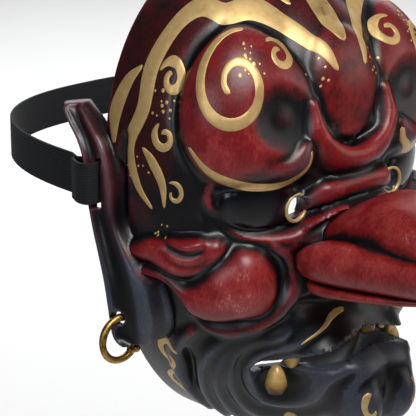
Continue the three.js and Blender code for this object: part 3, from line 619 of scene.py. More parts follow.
# %% Cutting tools
def round_bar(name, start, end, first, last, sides):
    """A bar or a cone between two points, in millimetres."""
    start, end = np.array(start, float), np.array(end, float)
    along = (end - start) / np.linalg.norm(end - start)
    across = np.cross(along, [0, 0, 1] if abs(along[2]) < 0.9 else [1, 0, 0])
    across /= np.linalg.norm(across)
    other = np.cross(along, across)
    angle = np.linspace(0, 2 * math.pi, sides, endpoint=False)[:, None]
    circle = np.cos(angle) * across + np.sin(angle) * other
    return ring_skin(name, [start + circle * first, end + circle * last])


def mouth_tool():
    """A block with the outline of the mouth, run straight through the face."""
    corner = LIPS[-1][0]
    x = np.linspace(-corner, corner, 61)
    outline = np.vstack([np.stack([x, lip_z(x, 1)], -1), np.stack([x, lip_z(x, 2)], -1)[::-1]])
    rings = [np.stack([outline[:, 0], np.full(len(outline), -y), outline[:, 1]], -1) for y in MOUTH_CUT]
    return ring_skin("mouth_tool", rings)


print("tools ready")

# %% Cuts
seat_from, seat_to, seat_rear, seat_front = EYE_SEAT
for side in (-1, 1):
    start, end = ((side * EYE_OUT, -forward, EYE_Z) for forward in (seat_from, seat_to))
    combine(shell, round_bar("seat", start, end, seat_rear, seat_front, 48), "UNION")
combine(shell, hollow, "DIFFERENCE")
combine(shell, nose_loft("nose_hollow", NOSE_HOLLOW, 1, 24, 30), "DIFFERENCE")
combine(shell, mouth_tool(), "DIFFERENCE")
slot_corners = [(a * SLOT_HALF_DEEP - SLOT_FORWARD, b * SLOT_HALF_TALL + SLOT_UP)
                for a, b in ((-1, -1), (1, -1), (1, 1), (-1, 1))]
for side in (-1, 1):
    start, end = ((side * EYE_OUT, -forward, EYE_Z) for forward in EYE_HOLE_CUT)
    combine(shell, round_bar("hole", start, end, EYE_HOLE_RADIUS, EYE_HOLE_RADIUS, 48), "DIFFERENCE")
    slot = [[(side * x, y, z) for y, z in slot_corners] for x in SLOT_CUT]
    combine(shell, ring_skin("slot", slot), "DIFFERENCE")
    x, forward, up = LOBE_HOLE
    start, end = ((side * (x + off), -forward, up) for off in (-LOBE_CUT, LOBE_CUT))
    combine(shell, round_bar("lobe", start, end, LOBE_HOLE_RADIUS, LOBE_HOLE_RADIUS, 24), "DIFFERENCE")
triangles = sum(len(face.vertices) - 2 for face in shell.data.polygons)
print("shell of", len(shell.data.vertices), "points and", triangles, "triangles")

# %% [markdown]
# A painter of such a mask lays a dark wash that stays in the creases, then drags a nearly dry brush
# over the high places. Here the dark in the creases is also painted shade, and the pale on the high
# places is also painted highlight. Both follow from how far each point lies above or below its
# surroundings. So the mesh is smoothed in memory, and the difference is kept as two attributes, low
# and high. The casting itself is softened by the first passes, because resin has no razor edges.

# %% Mesh numbers
SOFTEN_PASSES = 2
FINE_PASSES = 8
BROAD_PASSES = 60
# attribute, sign, then for the fine and the broad measure the depth that counts as full, and its share
# low darkens the creases: a dark wash that is also painted shade. high lightens the ridges: dry brush that is
# also painted highlight.
DEPTH_READINGS = [("low", 1, 0.5, 0.6, 2.6, 0.4), ("high", -1, 0.3, 0.6, 1.6, 0.6)]


def neighbour_mean(points, edges, counts):
    """The mean of the points at the other end of each point's edges."""
    total = np.zeros_like(points)
    for axis in range(3):
        total[:, axis] = (np.bincount(edges[:, 0], points[edges[:, 1], axis], len(points))
                          + np.bincount(edges[:, 1], points[edges[:, 0], axis], len(points)))
    return total / counts[:, None]


def read(items, name, width, kind=float):
    """One property of all points or edges of a mesh, as rows of numbers."""
    values = np.empty(len(items) * width, kind)
    items.foreach_get(name, values)
    return values.reshape(-1, width)


def attribute(mesh, name, values):
    """Writes one number for each point of a mesh, for its material to read."""
    layer = mesh.attributes.new(name, "FLOAT", "POINT")
    layer.data.foreach_set("value", np.asarray(values, np.float32))


print("smoothing", SOFTEN_PASSES, "passes for the casting,", FINE_PASSES, "and", BROAD_PASSES, "to measure")

# %% Creases and ridges measured
count = len(shell.data.vertices)
points = read(shell.data.vertices, "co", 3) / MM
edges = read(shell.data.edges, "vertices", 2, int)
counts = np.maximum(1, np.bincount(edges.ravel(), minlength=count))
flat = np.abs(points[:, 1]) < 0.5
soft = points.copy()
for _ in range(SOFTEN_PASSES):
    soft = np.where(flat[:, None], soft, 0.5 * soft + 0.5 * neighbour_mean(soft, edges, counts))
shell.data.vertices.foreach_set("co", (soft * MM).ravel())
shell.data.update()
normals = read(shell.data.vertices, "normal", 3)
fine = soft.copy()
for _ in range(FINE_PASSES):
    fine = neighbour_mean(fine, edges, counts)
broad = fine.copy()
for _ in range(BROAD_PASSES):
    broad = neighbour_mean(broad, edges, counts)
fine_depth = ((fine - soft) * normals).sum(1)
broad_depth = ((broad - soft) * normals).sum(1)
print("creases to", round(float(fine_depth.max()), 2), "and", round(float(broad_depth.max()), 2), "mm")

# %% [markdown]
# Where the red goes is a choice of the painter: the brow, the lids, the cheeks and the nose are red,
# the temples are a brown glaze, and the eyes, the lips and the jaw stay black. Each red place is a
# soft oval on the face map. A point finds its place on the map from the nearest point of the skin.

# %% Colour zones
# name, out, up, half across, half high, redness, brightness
RED_ZONES = [
    ("forehead", 40, 78, 62, 50, 0.8, 0.3),
    ("temple", 112, 62, 34, 50, 0.55, 0.15),
    ("dome", 56, 47, 40, 37, 0.9, 0.25),
    ("brow_roll", 64, 30, 26, 17, 1, 0.6),
    ("between_brows", 0, 36, 24, 24, 1, 0.55),
    ("nose_root", 0, 0, 27, 17, 0.9, 0.5),
    ("outer_lid", 73, 9, 4, 12, 1, 0.5),
    ("lower_lid", 44, -10, 26, 4.5, 1, 0.6),
    ("eye_bag", 34, -16, 26, 7, 0.6, 0.2),
    ("cheek_roll", 92, -19, 30, 13, 1, 0.6),
    ("cheek_ball", 62, -32, 34, 21, 1, 0.75),
    ("cheek_ring", 60, -38, 36, 20, 0.7, 0.3),
    ("roll_end", 118, -24, 15, 12, 0.8, 0.3),
    ("jaw_spot", 88, -58, 7, 6, 0.9, 0.3),
    ("temple_spot", 116, -4, 8, 11, 0.4, 0.1),
]
BLACK_ZONES = [
    ("eyeball", 45, 5, 26, 13),
    ("dish", 34, 42, 13, 10),
    ("muzzle", 12, -58, 34, 20),
]
# how much of the black a zone keeps, where it isn't all
DISH_BLACK = 0.35
ZONE_SOFT = 0.3
print(len(RED_ZONES), "red and", len(BLACK_ZONES), "black zones")

# %% Place of each point
OFF_SKIN = 2.2
NOSE_FROM = 70
NOSE_HALF_WIDE = 46
NOSE_HEIGHTS = (-45, 16)
EAR_FROM = 70
INSIDE_DEPTH = 1.5
tree = KDTree(len(skin_points))
for i, p in enumerate(skin_points):
    tree.insert(p, i)
tree.balance()
nearest = np.empty(count, int)
away = np.empty(count)
for i, p in enumerate(soft):
    _, nearest[i], away[i] = tree.find(p)
out, up = skin_out[nearest], skin_up[nearest]
forward = -soft[:, 1]
side_out = np.abs(soft[:, 0])
low_nose, high_nose = NOSE_HEIGHTS
standing = away > OFF_SKIN
nose = (standing & (forward > NOSE_FROM) & (side_out < NOSE_HALF_WIDE) & (soft[:, 2] > low_nose)
        & (soft[:, 2] < high_nose))
reach = np.linalg.norm(soft - HEART, axis=1)
skull = plain_radius((soft - HEART) / reach[:, None])
inside = standing & ~nose & (reach < skull + skin_stand[nearest] - INSIDE_DEPTH)
ear = standing & ~nose & ~inside & (side_out > EAR_FROM)
print(int(nose.sum()), "points on the nose,", int(ear.sum()), "on the ears,", int(inside.sum()), "inside")

# %% Paint attributes
# redness and brightness of the nose and the ears, and the heights over which the ears' red fades in
NOSE_PAINT = (1, 0.4)
EAR_PAINT = (0.35, 0.1)
EAR_FADE = (-30, 10)
EYEBALL_SPOT = (45, 4.5, 25, 14)
EYEBALL_SHARE = 0.95
GLOW_REACH = 1.1


def from_middle(at_out, at_up, across, high):
    """0 in the middle of an oval on the face map, 1 on its edge."""
    return np.hypot((out - at_out) / across, (up - at_up) / high)


redness = np.zeros(count)
bright = np.zeros(count)
for name, at_out, at_up, across, high, red, glow in RED_ZONES:
    q = from_middle(at_out, at_up, across, high)
    redness = np.maximum(redness, red * np.clip((1 + ZONE_SOFT / 2 - q) / ZONE_SOFT, 0, 1))
    bright = np.maximum(bright, glow * np.clip(GLOW_REACH - q, 0, 1))
for name, *oval in BLACK_ZONES:
    share = np.clip((1 + ZONE_SOFT / 2 - from_middle(*oval)) / ZONE_SOFT, 0, 1)
    redness *= 1 - share * (DISH_BLACK if name == "dish" else 1)
    bright *= 1 - share
redness[nose], bright[nose] = NOSE_PAINT
redness[ear] = EAR_PAINT[0] * np.clip((soft[ear, 2] - EAR_FADE[0]) / (EAR_FADE[1] - EAR_FADE[0]), 0, 1)
bright[ear] = EAR_PAINT[1]
redness[inside] = 0
eyeball = from_middle(*EYEBALL_SPOT) < EYEBALL_SHARE
attribute(shell.data, "red", redness)
attribute(shell.data, "bright", bright)
# the creases are painted darker (low) and the ridges paler (high): wash and dry brush that also stand in as
# painted shade and painted highlight
for name, sign, fine_full, fine_share, broad_full, broad_share in DEPTH_READINGS:
    attribute(shell.data, name, np.clip(sign * fine_depth / fine_full, 0, 1) * fine_share
              + np.clip(sign * broad_depth / broad_full, 0, 1) * broad_share)
attribute(shell.data, "glossy", (eyeball & ~standing).astype(float))
print("red over", round(float((redness > 0.5).mean() * 100)), "percent of the points")

# %% [markdown]
# Materials are built from a few nodes each. One helper adds a node with its settings and links, and
# one turns the hex colours of a paint chart into the linear light that the renderer works in.

# %% Material helpers
def linear(code):
    """An sRGB hex colour as linear light."""
    channels = [int(code[i:i + 2], 16) / 255 for i in (1, 3, 5)]
    return [c / 12.92 if c <= 0.04045 else ((c + 0.055) / 1.055) ** 2.4 for c in channels] + [1]


def add(tree, kind, settings, out=0):
    """Adds a node, gives it properties, socket values, links and colour stops, and returns an output."""
    node = tree.nodes.new("ShaderNode" + kind)
    for name, value in settings.items():
        if name == "stops":
            node.color_ramp.interpolation = "EASE"
            elements = node.color_ramp.elements
            while len(elements) < len(value):
                elements.new(0.5)
            for element, (place, code) in zip(elements, value):
                element.position = place
                element.color = linear(code)
        elif isinstance(value, bpy.types.NodeSocket):
            tree.links.new(value, node.inputs[name])
        elif isinstance(name, str) and hasattr(node, name):
            setattr(node, name, value)
        else:
            node.inputs[name].default_value = value
    return node.outputs[out] if node.outputs else node


def new_material(name, display):
    """An empty material, its nodes, and the object's own coordinates to lay its pattern on."""
    material = bpy.data.materials.new(name)
    material.use_nodes = True
    material.diffuse_color = linear(display)
    material.node_tree.nodes.clear()
    return material, material.node_tree, add(material.node_tree, "TexCoord", {}, "Object")


def dress(thing, material, sharp=180):
    """Gives a piece its paint and smooth shading, with edges above the sharp angle kept."""
    thing.data.materials.clear()
    thing.data.materials.append(material)
    thing.data.shade_smooth()
    if sharp < 180:
        thing.data.set_sharp_from_angle(angle=math.radians(sharp))


print("material helpers ready")

# %% [markdown]
# The skin is acrylic paint under a satin varnish: a black ground, a glaze of antique red, a brighter
# red scumbled over the middle of each roll, and dusty pink or slate dragged over its highest places,
# which also stands in for their highlight. The creases are painted dark, a wash that also stands in
# for their shade.
# Brush hairs are near 0.4 mm, which is finer than this picture shows, so the streaks are drawn 0.9 mm
# wide. A scumble is patchy over 9 mm. The eyeballs are gloss black. Each tone below starts from a
# base and adds layers by weight; noise is 0.5 on the average, so half its weight comes off the base.

# %% Painted skin
HAIR_MM = 0.9
HAIR_LONG = 0.35
PATCH_MM = 9
VARNISH_IOR = 1.49
lacquer, t, where = new_material("antique_red_acrylic_under_satin_varnish", "#5a1a1c")
red, glow, low, high, glossy = (add(t, "Attribute", {"attribute_name": name}, "Fac")
                                for name in ("red", "bright", "low", "high", "glossy"))
drawn_out = add(t, "Mapping", {"Vector": where, "Scale": (1, 1, HAIR_LONG)})
hairs = add(t, "TexNoise", {"Vector": drawn_out, "Scale": 1 / (HAIR_MM * MM), "Detail": 4, "Roughness": 0.6})
patches = add(t, "TexNoise", {"Vector": where, "Scale": 1 / (PATCH_MM * MM), "Detail": 3, "Roughness": 0.6})
# high lifts the tone and the slate as dry brush that is also painted highlight; low drops them as wash that
# is also painted shade.
# base, then each layer and its weight
layers = {
    "tone": (0.26 - 0.6 / 2 - 0.45 / 2, [(glow, 0.5), (high, 0.28), (low, -0.85), (patches, 0.6),
                                         (hairs, 0.45)]),
    "slate_drybrush_and_highlight": (-0.14 / 2, [(high, 0.7), (low, -0.4), (hairs, 0.14)]),
    "redness": (-0.35 / 2, [(red, 1), (hairs, 0.35)]),
    "roughness": (0.27, [(glossy, -0.12), (hairs, 0.12)]),
}
for name, (total, parts) in layers.items():
    for layer, weight in parts:
        total = add(t, "Math", {"operation": "MULTIPLY_ADD", "use_clamp": layer is parts[-1][0],
                                0: layer, 1: weight, 2: total})
    layers[name] = total
# The palest stops, dusty pink and slate, are dry brush on the ridges that also stands in as painted
# highlight.
reds = add(t, "ValToRGB", {"Fac": layers["tone"], "stops": [
    (0.0, "#05050a"), (0.2, "#14080c"), (0.42, "#450c0f"), (0.68, "#7c1517"), (0.88, "#98302f"),
    (1.0, "#a9625f")]})
blacks = add(t, "ValToRGB", {"Fac": layers["slate_drybrush_and_highlight"], "stops": [
    (0.0, "#030407"), (0.35, "#06070b"), (0.7, "#1b1f29"), (1.0, "#555b67")]})
colour = add(t, "Mix", {"data_type": "RGBA", 0: layers["redness"], 6: blacks, 7: reds}, 2)
bumps = add(t, "Bump", {"Strength": 0.12, "Distance": 0.0004, "Height": hairs})
paint = add(t, "BsdfPrincipled", {"IOR": VARNISH_IOR, "Base Color": colour, "Roughness": layers["roughness"],
                                  "Normal": bumps})
add(t, "OutputMaterial", {"Surface": paint})
dress(shell, lacquer, 58)
shell.name = "painted_shell"
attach(shell, "mask")
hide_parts("mask_shell")
print("shell painted")

# %% [markdown]
# The teeth, the eye rims and the scrolls are gold paint, not plated metal: a metal pigment in clear
# medium, so it is bright but never a mirror. Its colour varies in patches at random, and on the teeth
# it is painted darker at the roots and between them, as painted shade.

# %% Gold paint
PIGMENT_MM = 0.5
WASH_MM = 4
gold, t, where = new_material("gold_bronze_powder_paint", "#cda75e")
pigment = add(t, "TexNoise", {"Vector": where, "Scale": 1 / (PIGMENT_MM * MM), "Detail": 3, "Roughness": 0.6})
wash = add(t, "TexNoise", {"Vector": where, "Scale": 1 / (WASH_MM * MM), "Detail": 2, "Roughness": 0.6})
coat = add(t, "Math", {"operation": "MULTIPLY", 0: pigment, 1: 0.35})
coat = add(t, "Math", {"operation": "MULTIPLY_ADD", 0: wash, 1: 0.65, 2: coat})
shade = add(t, "ValToRGB", {"Fac": coat, "stops": [(0.25, "#c09a5e"), (0.5, "#d6b275"), (0.8, "#e9cf98")]})
bumps = add(t, "Bump", {"Strength": 0.15, "Distance": 0.0002, "Height": pigment})
paint = add(t, "BsdfPrincipled", {"Metallic": 0.5, "Roughness": 0.42, "Base Color": shade, "Normal": bumps})
add(t, "OutputMaterial", {"Surface": paint})
print("gold line paint ready")

# %% Gold paint of the teeth
TOOTH_WASH_MM = 2.5
tooth_gold, t, where = new_material("antiqued_gold_tooth_paint_with_painted_root_shade", "#a98442")
# the attribute read here darkens the gold toward each root and between the teeth, as painted shade
root = add(t, "Attribute", {"attribute_name": "root"}, "Fac")
wash = add(t, "TexNoise", {"Vector": where, "Scale": 1 / (TOOTH_WASH_MM * MM), "Detail": 3, "Roughness": 0.6})
tooth_tone = add(t, "Math", {"operation": "MULTIPLY_ADD", 0: wash, 1: 0.4, 2: 0.62})
tooth_tone = add(t, "Math", {"operation": "SUBTRACT", "use_clamp": True, 0: tooth_tone, 1: root})
shade = add(t, "ValToRGB", {"Fac": tooth_tone, "stops": [
    (0.0, "#1d1409"), (0.3, "#6b4d1f"), (0.65, "#b48d4c"), (1.0, "#dcb877")]})
paint = add(t, "BsdfPrincipled", {"Metallic": 0.35, "Roughness": 0.4, "Base Color": shade})
add(t, "OutputMaterial", {"Surface": paint})
print("gold tooth paint ready")

# %% [markdown]
# The teeth stand behind the upper lip in one strip, two broad ones on each side of the middle, with a
# fang at each end, and two larger fangs rise from the lower lip. A tooth is a loft of rounded
# rectangles, a fang a loft of shrinking rounds. Both are painted darkest at the root, and the teeth
# also at their sides, as painted shade where they meet the lips and between the teeth.

# %% Teeth
# place across, width, drop below the lip
TEETH = [(7.4, 13.6, 5.6), (21.5, 12.4, 4.2)]
TEETH_FORWARD = 82.5
TEETH_SWEEP = 12
TEETH_SWEEP_AT = 33
TOOTH_THICK = 3.8
TOOTH_ROOT = 1.8


def tooth_forward(x):
    """The row bends back toward its ends, as the jaw does."""
    return TEETH_FORWARD - TEETH_SWEEP * (x / TEETH_SWEEP_AT) ** 2


def tooth(at, wide, drop):
    """Rings of one tooth from its root down, and how dark each ring is."""
    top, tip = lip_z(at) + TOOTH_ROOT, lip_z(at) - drop
    angle = np.linspace(0, 2 * math.pi, 40, endpoint=False)
    c, s = np.cos(angle), np.sin(angle)
    rings, darkness = [], []
    for share in np.linspace(0, 1, 16):
        rounding = super_root(max(0, (share - 0.72) / 0.285), 2.2)
        across = wide / 2 * (1 - 0.1 * share) * (0.55 + 0.45 * rounding)
        deep = TOOTH_THICK / 2 * (1 - 0.12 * share) * (0.35 + 0.65 * rounding)
        x = at + across * np.sign(c) * np.abs(c) ** 0.55
        y = -tooth_forward(x) + deep * np.sign(s) * np.abs(s) ** 0.7
        rings.append(np.stack([x, y, top + (tip - top) * share + lip_z(x) - lip_z(at)], -1))
        # darker toward the root and at the sides: painted shade where the tooth meets the lip and its
        # neighbours
        darkness.append(np.clip(0.75 - 1.1 * share, 0, 1) + 0.35 * np.abs(c) ** 6)
    return rings, darkness


print(2 * len(TEETH), "teeth,", TOOTH_THICK, "mm thick")

# %% Fangs
# place across, forward, height of the base, height of the tip, half width
UPPER_FANG = (33, 70.5, -66, -80, 5.6)
LOWER_FANG = (40.5, 67.5, -91, -77, 5.6)


def fang(side, at, forward, base, tip, thick):
    """Rings of one fang from its base to its tip, and how dark each ring is."""
    angle = np.linspace(0, 2 * math.pi, 36, endpoint=False)
    rings, darkness = [], []
    for share in np.linspace(0, 1, 20):
        width = thick * max(0.06, math.sqrt(max(0, 1 - share ** 1.9)) * min(1, 0.72 + 1.1 * share))
        x = side * at + width * np.cos(angle)
        y = -forward + width * np.sin(angle)
        rings.append(np.stack([x, y, np.full(len(angle), base + (tip - base) * share)], -1))
        # darker toward the base: painted shade where the fang meets the lip
        darkness.append(np.full(len(angle), np.clip(0.85 - 1.9 * share, 0, 1)))
    return rings, darkness


print("fangs", abs(UPPER_FANG[3] - UPPER_FANG[2]), "and", abs(LOWER_FANG[3] - LOWER_FANG[2]), "mm long")


# %% Teeth in place
def joined_rings(name, parts, material):
    """One object from several ring skins, each with its darkness as an attribute."""
    whole = None
    dark = []
    for rings, darkness in parts:
        piece = ring_skin(name, rings)
        dark.append(np.append(np.concatenate(darkness), [darkness[0].mean(), darkness[-1].mean()]))
        if whole is None:
            whole = piece
            continue
        with bpy.context.temp_override(active_object=whole, selected_editable_objects=[whole, piece]):
            bpy.ops.object.join()
    attribute(whole.data, "root", np.concatenate(dark))
    dress(whole, material)
    return whole


row = [tooth(side * at, wide, drop) for side in (-1, 1) for at, wide, drop in TEETH]
upper = joined_rings("gold_teeth", row, tooth_gold)
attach(upper, "mask")
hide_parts("upper_teeth")
for word, side in (("right", -1), ("left", 1)):
    for level, spec in (("upper", UPPER_FANG), ("lower", LOWER_FANG)):
        piece = joined_rings(f"gold_{level}_fang_{word}", [fang(side, *spec)], tooth_gold)
        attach(piece, "mask")
        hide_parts(f"{level}_fang_{word}")
print("teeth and four fangs")

# %% [markdown]
# Wire forms, the eye rims and the ear hoops, are swept rounds. A hoop of a real ear ring is never
# quite even: it is bent by hand, so its wire thickens and thins a little along its length.

# %% Eye rims
EYE_FORWARD = 71
EYE_RIM_RADIUS = 6.4
EYE_RIM_WIRE = 0.9
EYE_RIM_PROUD = 0.6


def wire_loop(name, centre, radius, wire, around, sides, uneven=0.0):
    """A closed wire ring standing in the X-Z plane."""
    turn = np.linspace(0, 2 * math.pi, around, endpoint=False)
    tube = np.linspace(0, 2 * math.pi, sides, endpoint=False)
    thick = wire * (1 + uneven * np.sin(3 * turn + 0.7) * np.cos(2 * turn))
    spoke = radius + thick[:, None] * np.cos(tube)[None]
    x = centre[0] + spoke * np.cos(turn)[:, None]
    z = centre[2] + spoke * np.sin(turn)[:, None]
    y = centre[1] + thick[:, None] * np.sin(tube)[None]
    points = np.stack([x, y, z], -1).reshape(-1, 3)
    return mesh_object(name, points, band_faces(around, sides, closed=True))


for word, side in (("right", -1), ("left", 1)):
    centre = (side * EYE_OUT, -(EYE_FORWARD + EYE_RIM_PROUD), EYE_Z)
    rim = wire_loop(f"gold_eye_rim_{word}", centre, EYE_RIM_RADIUS, EYE_RIM_WIRE, 64, 12)
    dress(rim, gold)
    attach(rim, "mask")
    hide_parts(f"eye_rim_{word}")
print("two eye rims")

# %% [markdown]
# The hoops are cast brass with a dull tarnish and wiped high places. A metal's colour is its
# reflection, so the colour ramp carries the tarnish and the roughness rises with it. The beads are
# soldered on: they are joined by a boolean, so that each hoop is one solid.

# %% Brass
TARNISH_MM = 3
MARK_MM = 0.6
brass, t, where = new_material("worn_cast_brass", "#b08d4a")
tarnish = add(t, "TexNoise", {"Vector": where, "Scale": 1 / (TARNISH_MM * MM), "Detail": 4, "Roughness": 0.6})
marks = add(t, "TexNoise", {"Vector": where, "Scale": 1 / (MARK_MM * MM), "Detail": 3, "Roughness": 0.6})
shade = add(t, "ValToRGB", {"Fac": tarnish, "stops": [(0.3, "#6f5124"), (0.5, "#b08a48"), (0.75, "#d9b875")]})
rough = add(t, "Math", {"operation": "MULTIPLY_ADD", 0: tarnish, 1: 0.22, 2: 0.28})
bumps = add(t, "Bump", {"Strength": 0.25, "Distance": 0.0003, "Height": marks})
metal = add(t, "BsdfPrincipled", {"Metallic": 1.0, "Base Color": shade, "Roughness": rough, "Normal": bumps})
add(t, "OutputMaterial", {"Surface": metal})
print("brass ready")

# %% Brass hoops
HOOP_RADIUS = 10.6
HOOP_WIRE = 1.8
BEAD_RADIUS = 2.1
BEAD_ANGLE = math.radians(-38)
BEADS = [(0, 1.9, 0), (0, -1.9, 0), (1.7, 0, 1.1), (-1.7, 0, -1.1)]


def bead(centre, radius):
    """A small round bead, its surface a little uneven from the casting."""
    shape = bmesh.new()
    bmesh.ops.create_icosphere(shape, subdivisions=3, radius=radius)
    points = [np.array(v.co) * (1 + 0.04 * math.sin(5 * v.co.x + 3 * v.co.z)) + centre for v in shape.verts]
    faces = [[v.index for v in f.verts] for f in shape.faces]
    shape.free()
    return mesh_object("bead", points, faces)


for word, side in (("right", -1), ("left", 1)):
    lobe_x = ear_reach(-50, 11, 35, LOBE_HOLE[1])
    centre = (side * float(lobe_x), -LOBE_HOLE[1], LOBE_HOLE[2] - HOOP_RADIUS)
    hoop = wire_loop(f"brass_hoop_{word}", centre, HOOP_RADIUS, HOOP_WIRE, 96, 16, 0.06)
    at = np.array([centre[0] - side * HOOP_RADIUS * math.cos(BEAD_ANGLE), centre[1],
                   centre[2] + HOOP_RADIUS * math.sin(BEAD_ANGLE)])
    for shift in BEADS:
        combine(hoop, bead(at + np.array(shift), BEAD_RADIUS), "UNION")
    dress(hoop, brass)
    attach(hoop, f"hoop_{word}")
    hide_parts(f"ear_hoop_{word}")
print("two hoops")

# %% [markdown]
# The strap is woven elastic, 20 mm wide. Flat webbing is made directly: a ribbon swept along its
# route, round each ear's rear bar and round the back of the head. Its ribs run along it, about one
# each 1.4 mm, and its threads cross it. Cloth simulation would lose both.

# %% Strap route
STRAP_WIDTH = 20
STRAP_THICK = 1.6
STRAP_BACK = 122
STRAP_HALF_WIDTH = 92
STRAP_Z = 10
STRAP_ROUND = 0.8
STRAP_CLEAR = 0.5
EAR_RIM_SWELL = 1.6
LOOP_JOIN_BEHIND = 9
LOOP_JOIN_HALF = 1.2
LOOP_CORNER = 2
RIB_MM = 1.4
RIB_DEEP = 0.12


def bar_loop(side):
    """The strap's route round one ear's rear bar, seen from above."""
    rear, front = -4, 12
    bar = SLOT_FORWARD - SLOT_HALF_DEEP
    clear = EAR_THICK / 2 + EAR_RIM_SWELL + STRAP_THICK / 2 + STRAP_CLEAR
    rear_x = float(ear_reach(STRAP_Z, rear, front, (rear + bar) / 2))
    front_x = float(ear_reach(STRAP_Z, rear, front, bar))
    slot_y = -bar - STRAP_THICK / 2 - 0.4
    route = [(rear_x - LOOP_JOIN_HALF, -rear + LOOP_JOIN_BEHIND), (rear_x - clear, -rear + 1),
             (front_x - clear, -bar + 0.3), (front_x - clear + LOOP_CORNER, slot_y),
             (front_x + clear - LOOP_CORNER, slot_y), (front_x + clear, -bar + 0.3),
             (rear_x + clear, -rear + 1), (rear_x + LOOP_JOIN_HALF, -rear + LOOP_JOIN_BEHIND)]
    return [(side * x, y) for x, y in route]


def round_corners(route, rounds):
    """Cuts the corners of a route again and again until it is a smooth line."""
    line = np.array(route, float)
    for _ in range(rounds):
        nearer = 0.75 * line[:-1] + 0.25 * line[1:]
        farther = 0.25 * line[:-1] + 0.75 * line[1:]
        line = np.vstack([line[:1], np.stack([nearer, farther], 1).reshape(-1, 2), line[-1:]])
    return line


print("loop bends at", len(bar_loop(1)), "places")


# %% Webbing
def webbing(name, line, width=STRAP_WIDTH, thick=STRAP_THICK):
    """An upright ribbed band along a plan line."""
    ahead = np.gradient(line, axis=0)
    ahead /= np.linalg.norm(ahead, axis=1, keepdims=True)
    normal = np.stack([-ahead[:, 1], ahead[:, 0]], -1)
    levels = np.linspace(-1, 1, 57)
    ribs = RIB_DEEP * np.cos(levels * width / 2 * 2 * math.pi / RIB_MM)
    half = (thick / 2 - RIB_DEEP + ribs) * np.minimum(1, (1 - np.abs(levels)) * 14 + 0.5)
    rings = []
    for (x, y), (nx, ny) in zip(line, normal):
        z = STRAP_Z + levels * width / 2
        one = np.stack([x + nx * half, y + ny * half, z], -1)
        two = np.stack([x - nx * half, y - ny * half, z], -1)
        rings.append(np.vstack([one, two[::-1]]))
    return ring_skin(name, rings)


join_x, front_y = bar_loop(1)[0]
angle = np.linspace(0, math.pi, 110)
long_x = STRAP_HALF_WIDTH * np.sign(np.cos(angle)) * np.abs(np.cos(angle)) ** STRAP_ROUND
long_y = front_y + (STRAP_BACK - front_y) * np.sin(angle) ** STRAP_ROUND
long_x[0], long_x[-1] = join_x, -join_x
strap = webbing("woven_strap", np.stack([long_x, long_y], -1))
for side in (-1, 1):
    combine(strap, webbing("ear_loop", round_corners(bar_loop(side), 3)), "UNION")

print("strap of", len(strap.data.vertices), "points")

# %% [markdown]
# Elastic is polyester thread woven over rubber cores. It is matt, with a faint sheen at grazing
# angles from the loose fibres. Bands of thread run with the ribs, and a noise drawn out along the
# strap breaks them, as the crossing threads do.

# %% Woven elastic
THREAD_MM = 0.7
elastic, t, where = new_material("woven_rubber_core_elastic", "#15161b")
threads = add(t, "TexWave", {"wave_type": "BANDS", "bands_direction": "Z", "Vector": where,
                             "Scale": 0.32 / (RIB_MM * MM), "Distortion": 1.5, "Detail": 2}, "Fac")
drawn_out = add(t, "Mapping", {"Vector": where, "Scale": (1, 1, 0.4)})
cross = add(t, "TexNoise", {"Vector": drawn_out, "Scale": 1 / (THREAD_MM * MM), "Detail": 2,
                            "Roughness": 0.6})
weave = add(t, "Math", {"operation": "MULTIPLY", 0: threads, 1: cross})
shade = add(t, "ValToRGB", {"Fac": weave, "stops": [(0.0, "#030408"), (0.4, "#090b12"), (1.0, "#171a25")]})
bumps = add(t, "Bump", {"Strength": 0.6, "Distance": 0.0003, "Height": weave})
cloth = add(t, "BsdfPrincipled", {"Roughness": 0.88, "Sheen Weight": 0.06, "Sheen Roughness": 0.5,
                                  "Base Color": shade, "Normal": bumps})
add(t, "OutputMaterial", {"Surface": cloth})
dress(strap, elastic, 60)
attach(strap, "mask")
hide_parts("head_strap")
print("strap woven")

# %% [markdown]
# The gold scrolls are raised lines of paint. They could be a mask in the skin's material, but its
# points are a millimetre apart and a brush line has a crisp edge. So each stroke is its own thin
# raised ribbon that lies on the carved face. The scrolls are a plain vine, the kind carved and
# painted on festival wood everywhere: a stem, curls to either side, and dots.

# %% Gold strokes
# name, then a place for each knot: out, up, width
STROKES = [
    ("vine", [(5, 57, 1.5), (10, 70, 6), (24, 84, 9), (44, 91, 10), (64, 89, 8.5), (84, 92, 8),
              (101, 85, 9.5), (112, 68, 10), (114, 48, 8), (121, 30, 6), (116, 12, 4), (107, 1, 1.5)]),
    ("centre_leaf", [(0, 68, 1), (0, 78, 7), (0, 90, 8.5), (0, 104, 2)]),
    ("inner_leaf", [(14, 90, 1.5), (21, 98, 8), (34, 105, 7), (50, 106, 1.5)]),
    ("high_leaf", [(68, 96, 1.5), (76, 104, 7), (92, 106, 6), (108, 100, 1.5)]),
    ("back_leaf", [(119, 66, 1.5), (126, 58, 6), (130, 44, 6), (130, 28, 1.5)]),
    ("low_leaf", [(113, 30, 1.5), (107, 24, 5), (101, 14, 4.5), (100, 2, 1)]),
]
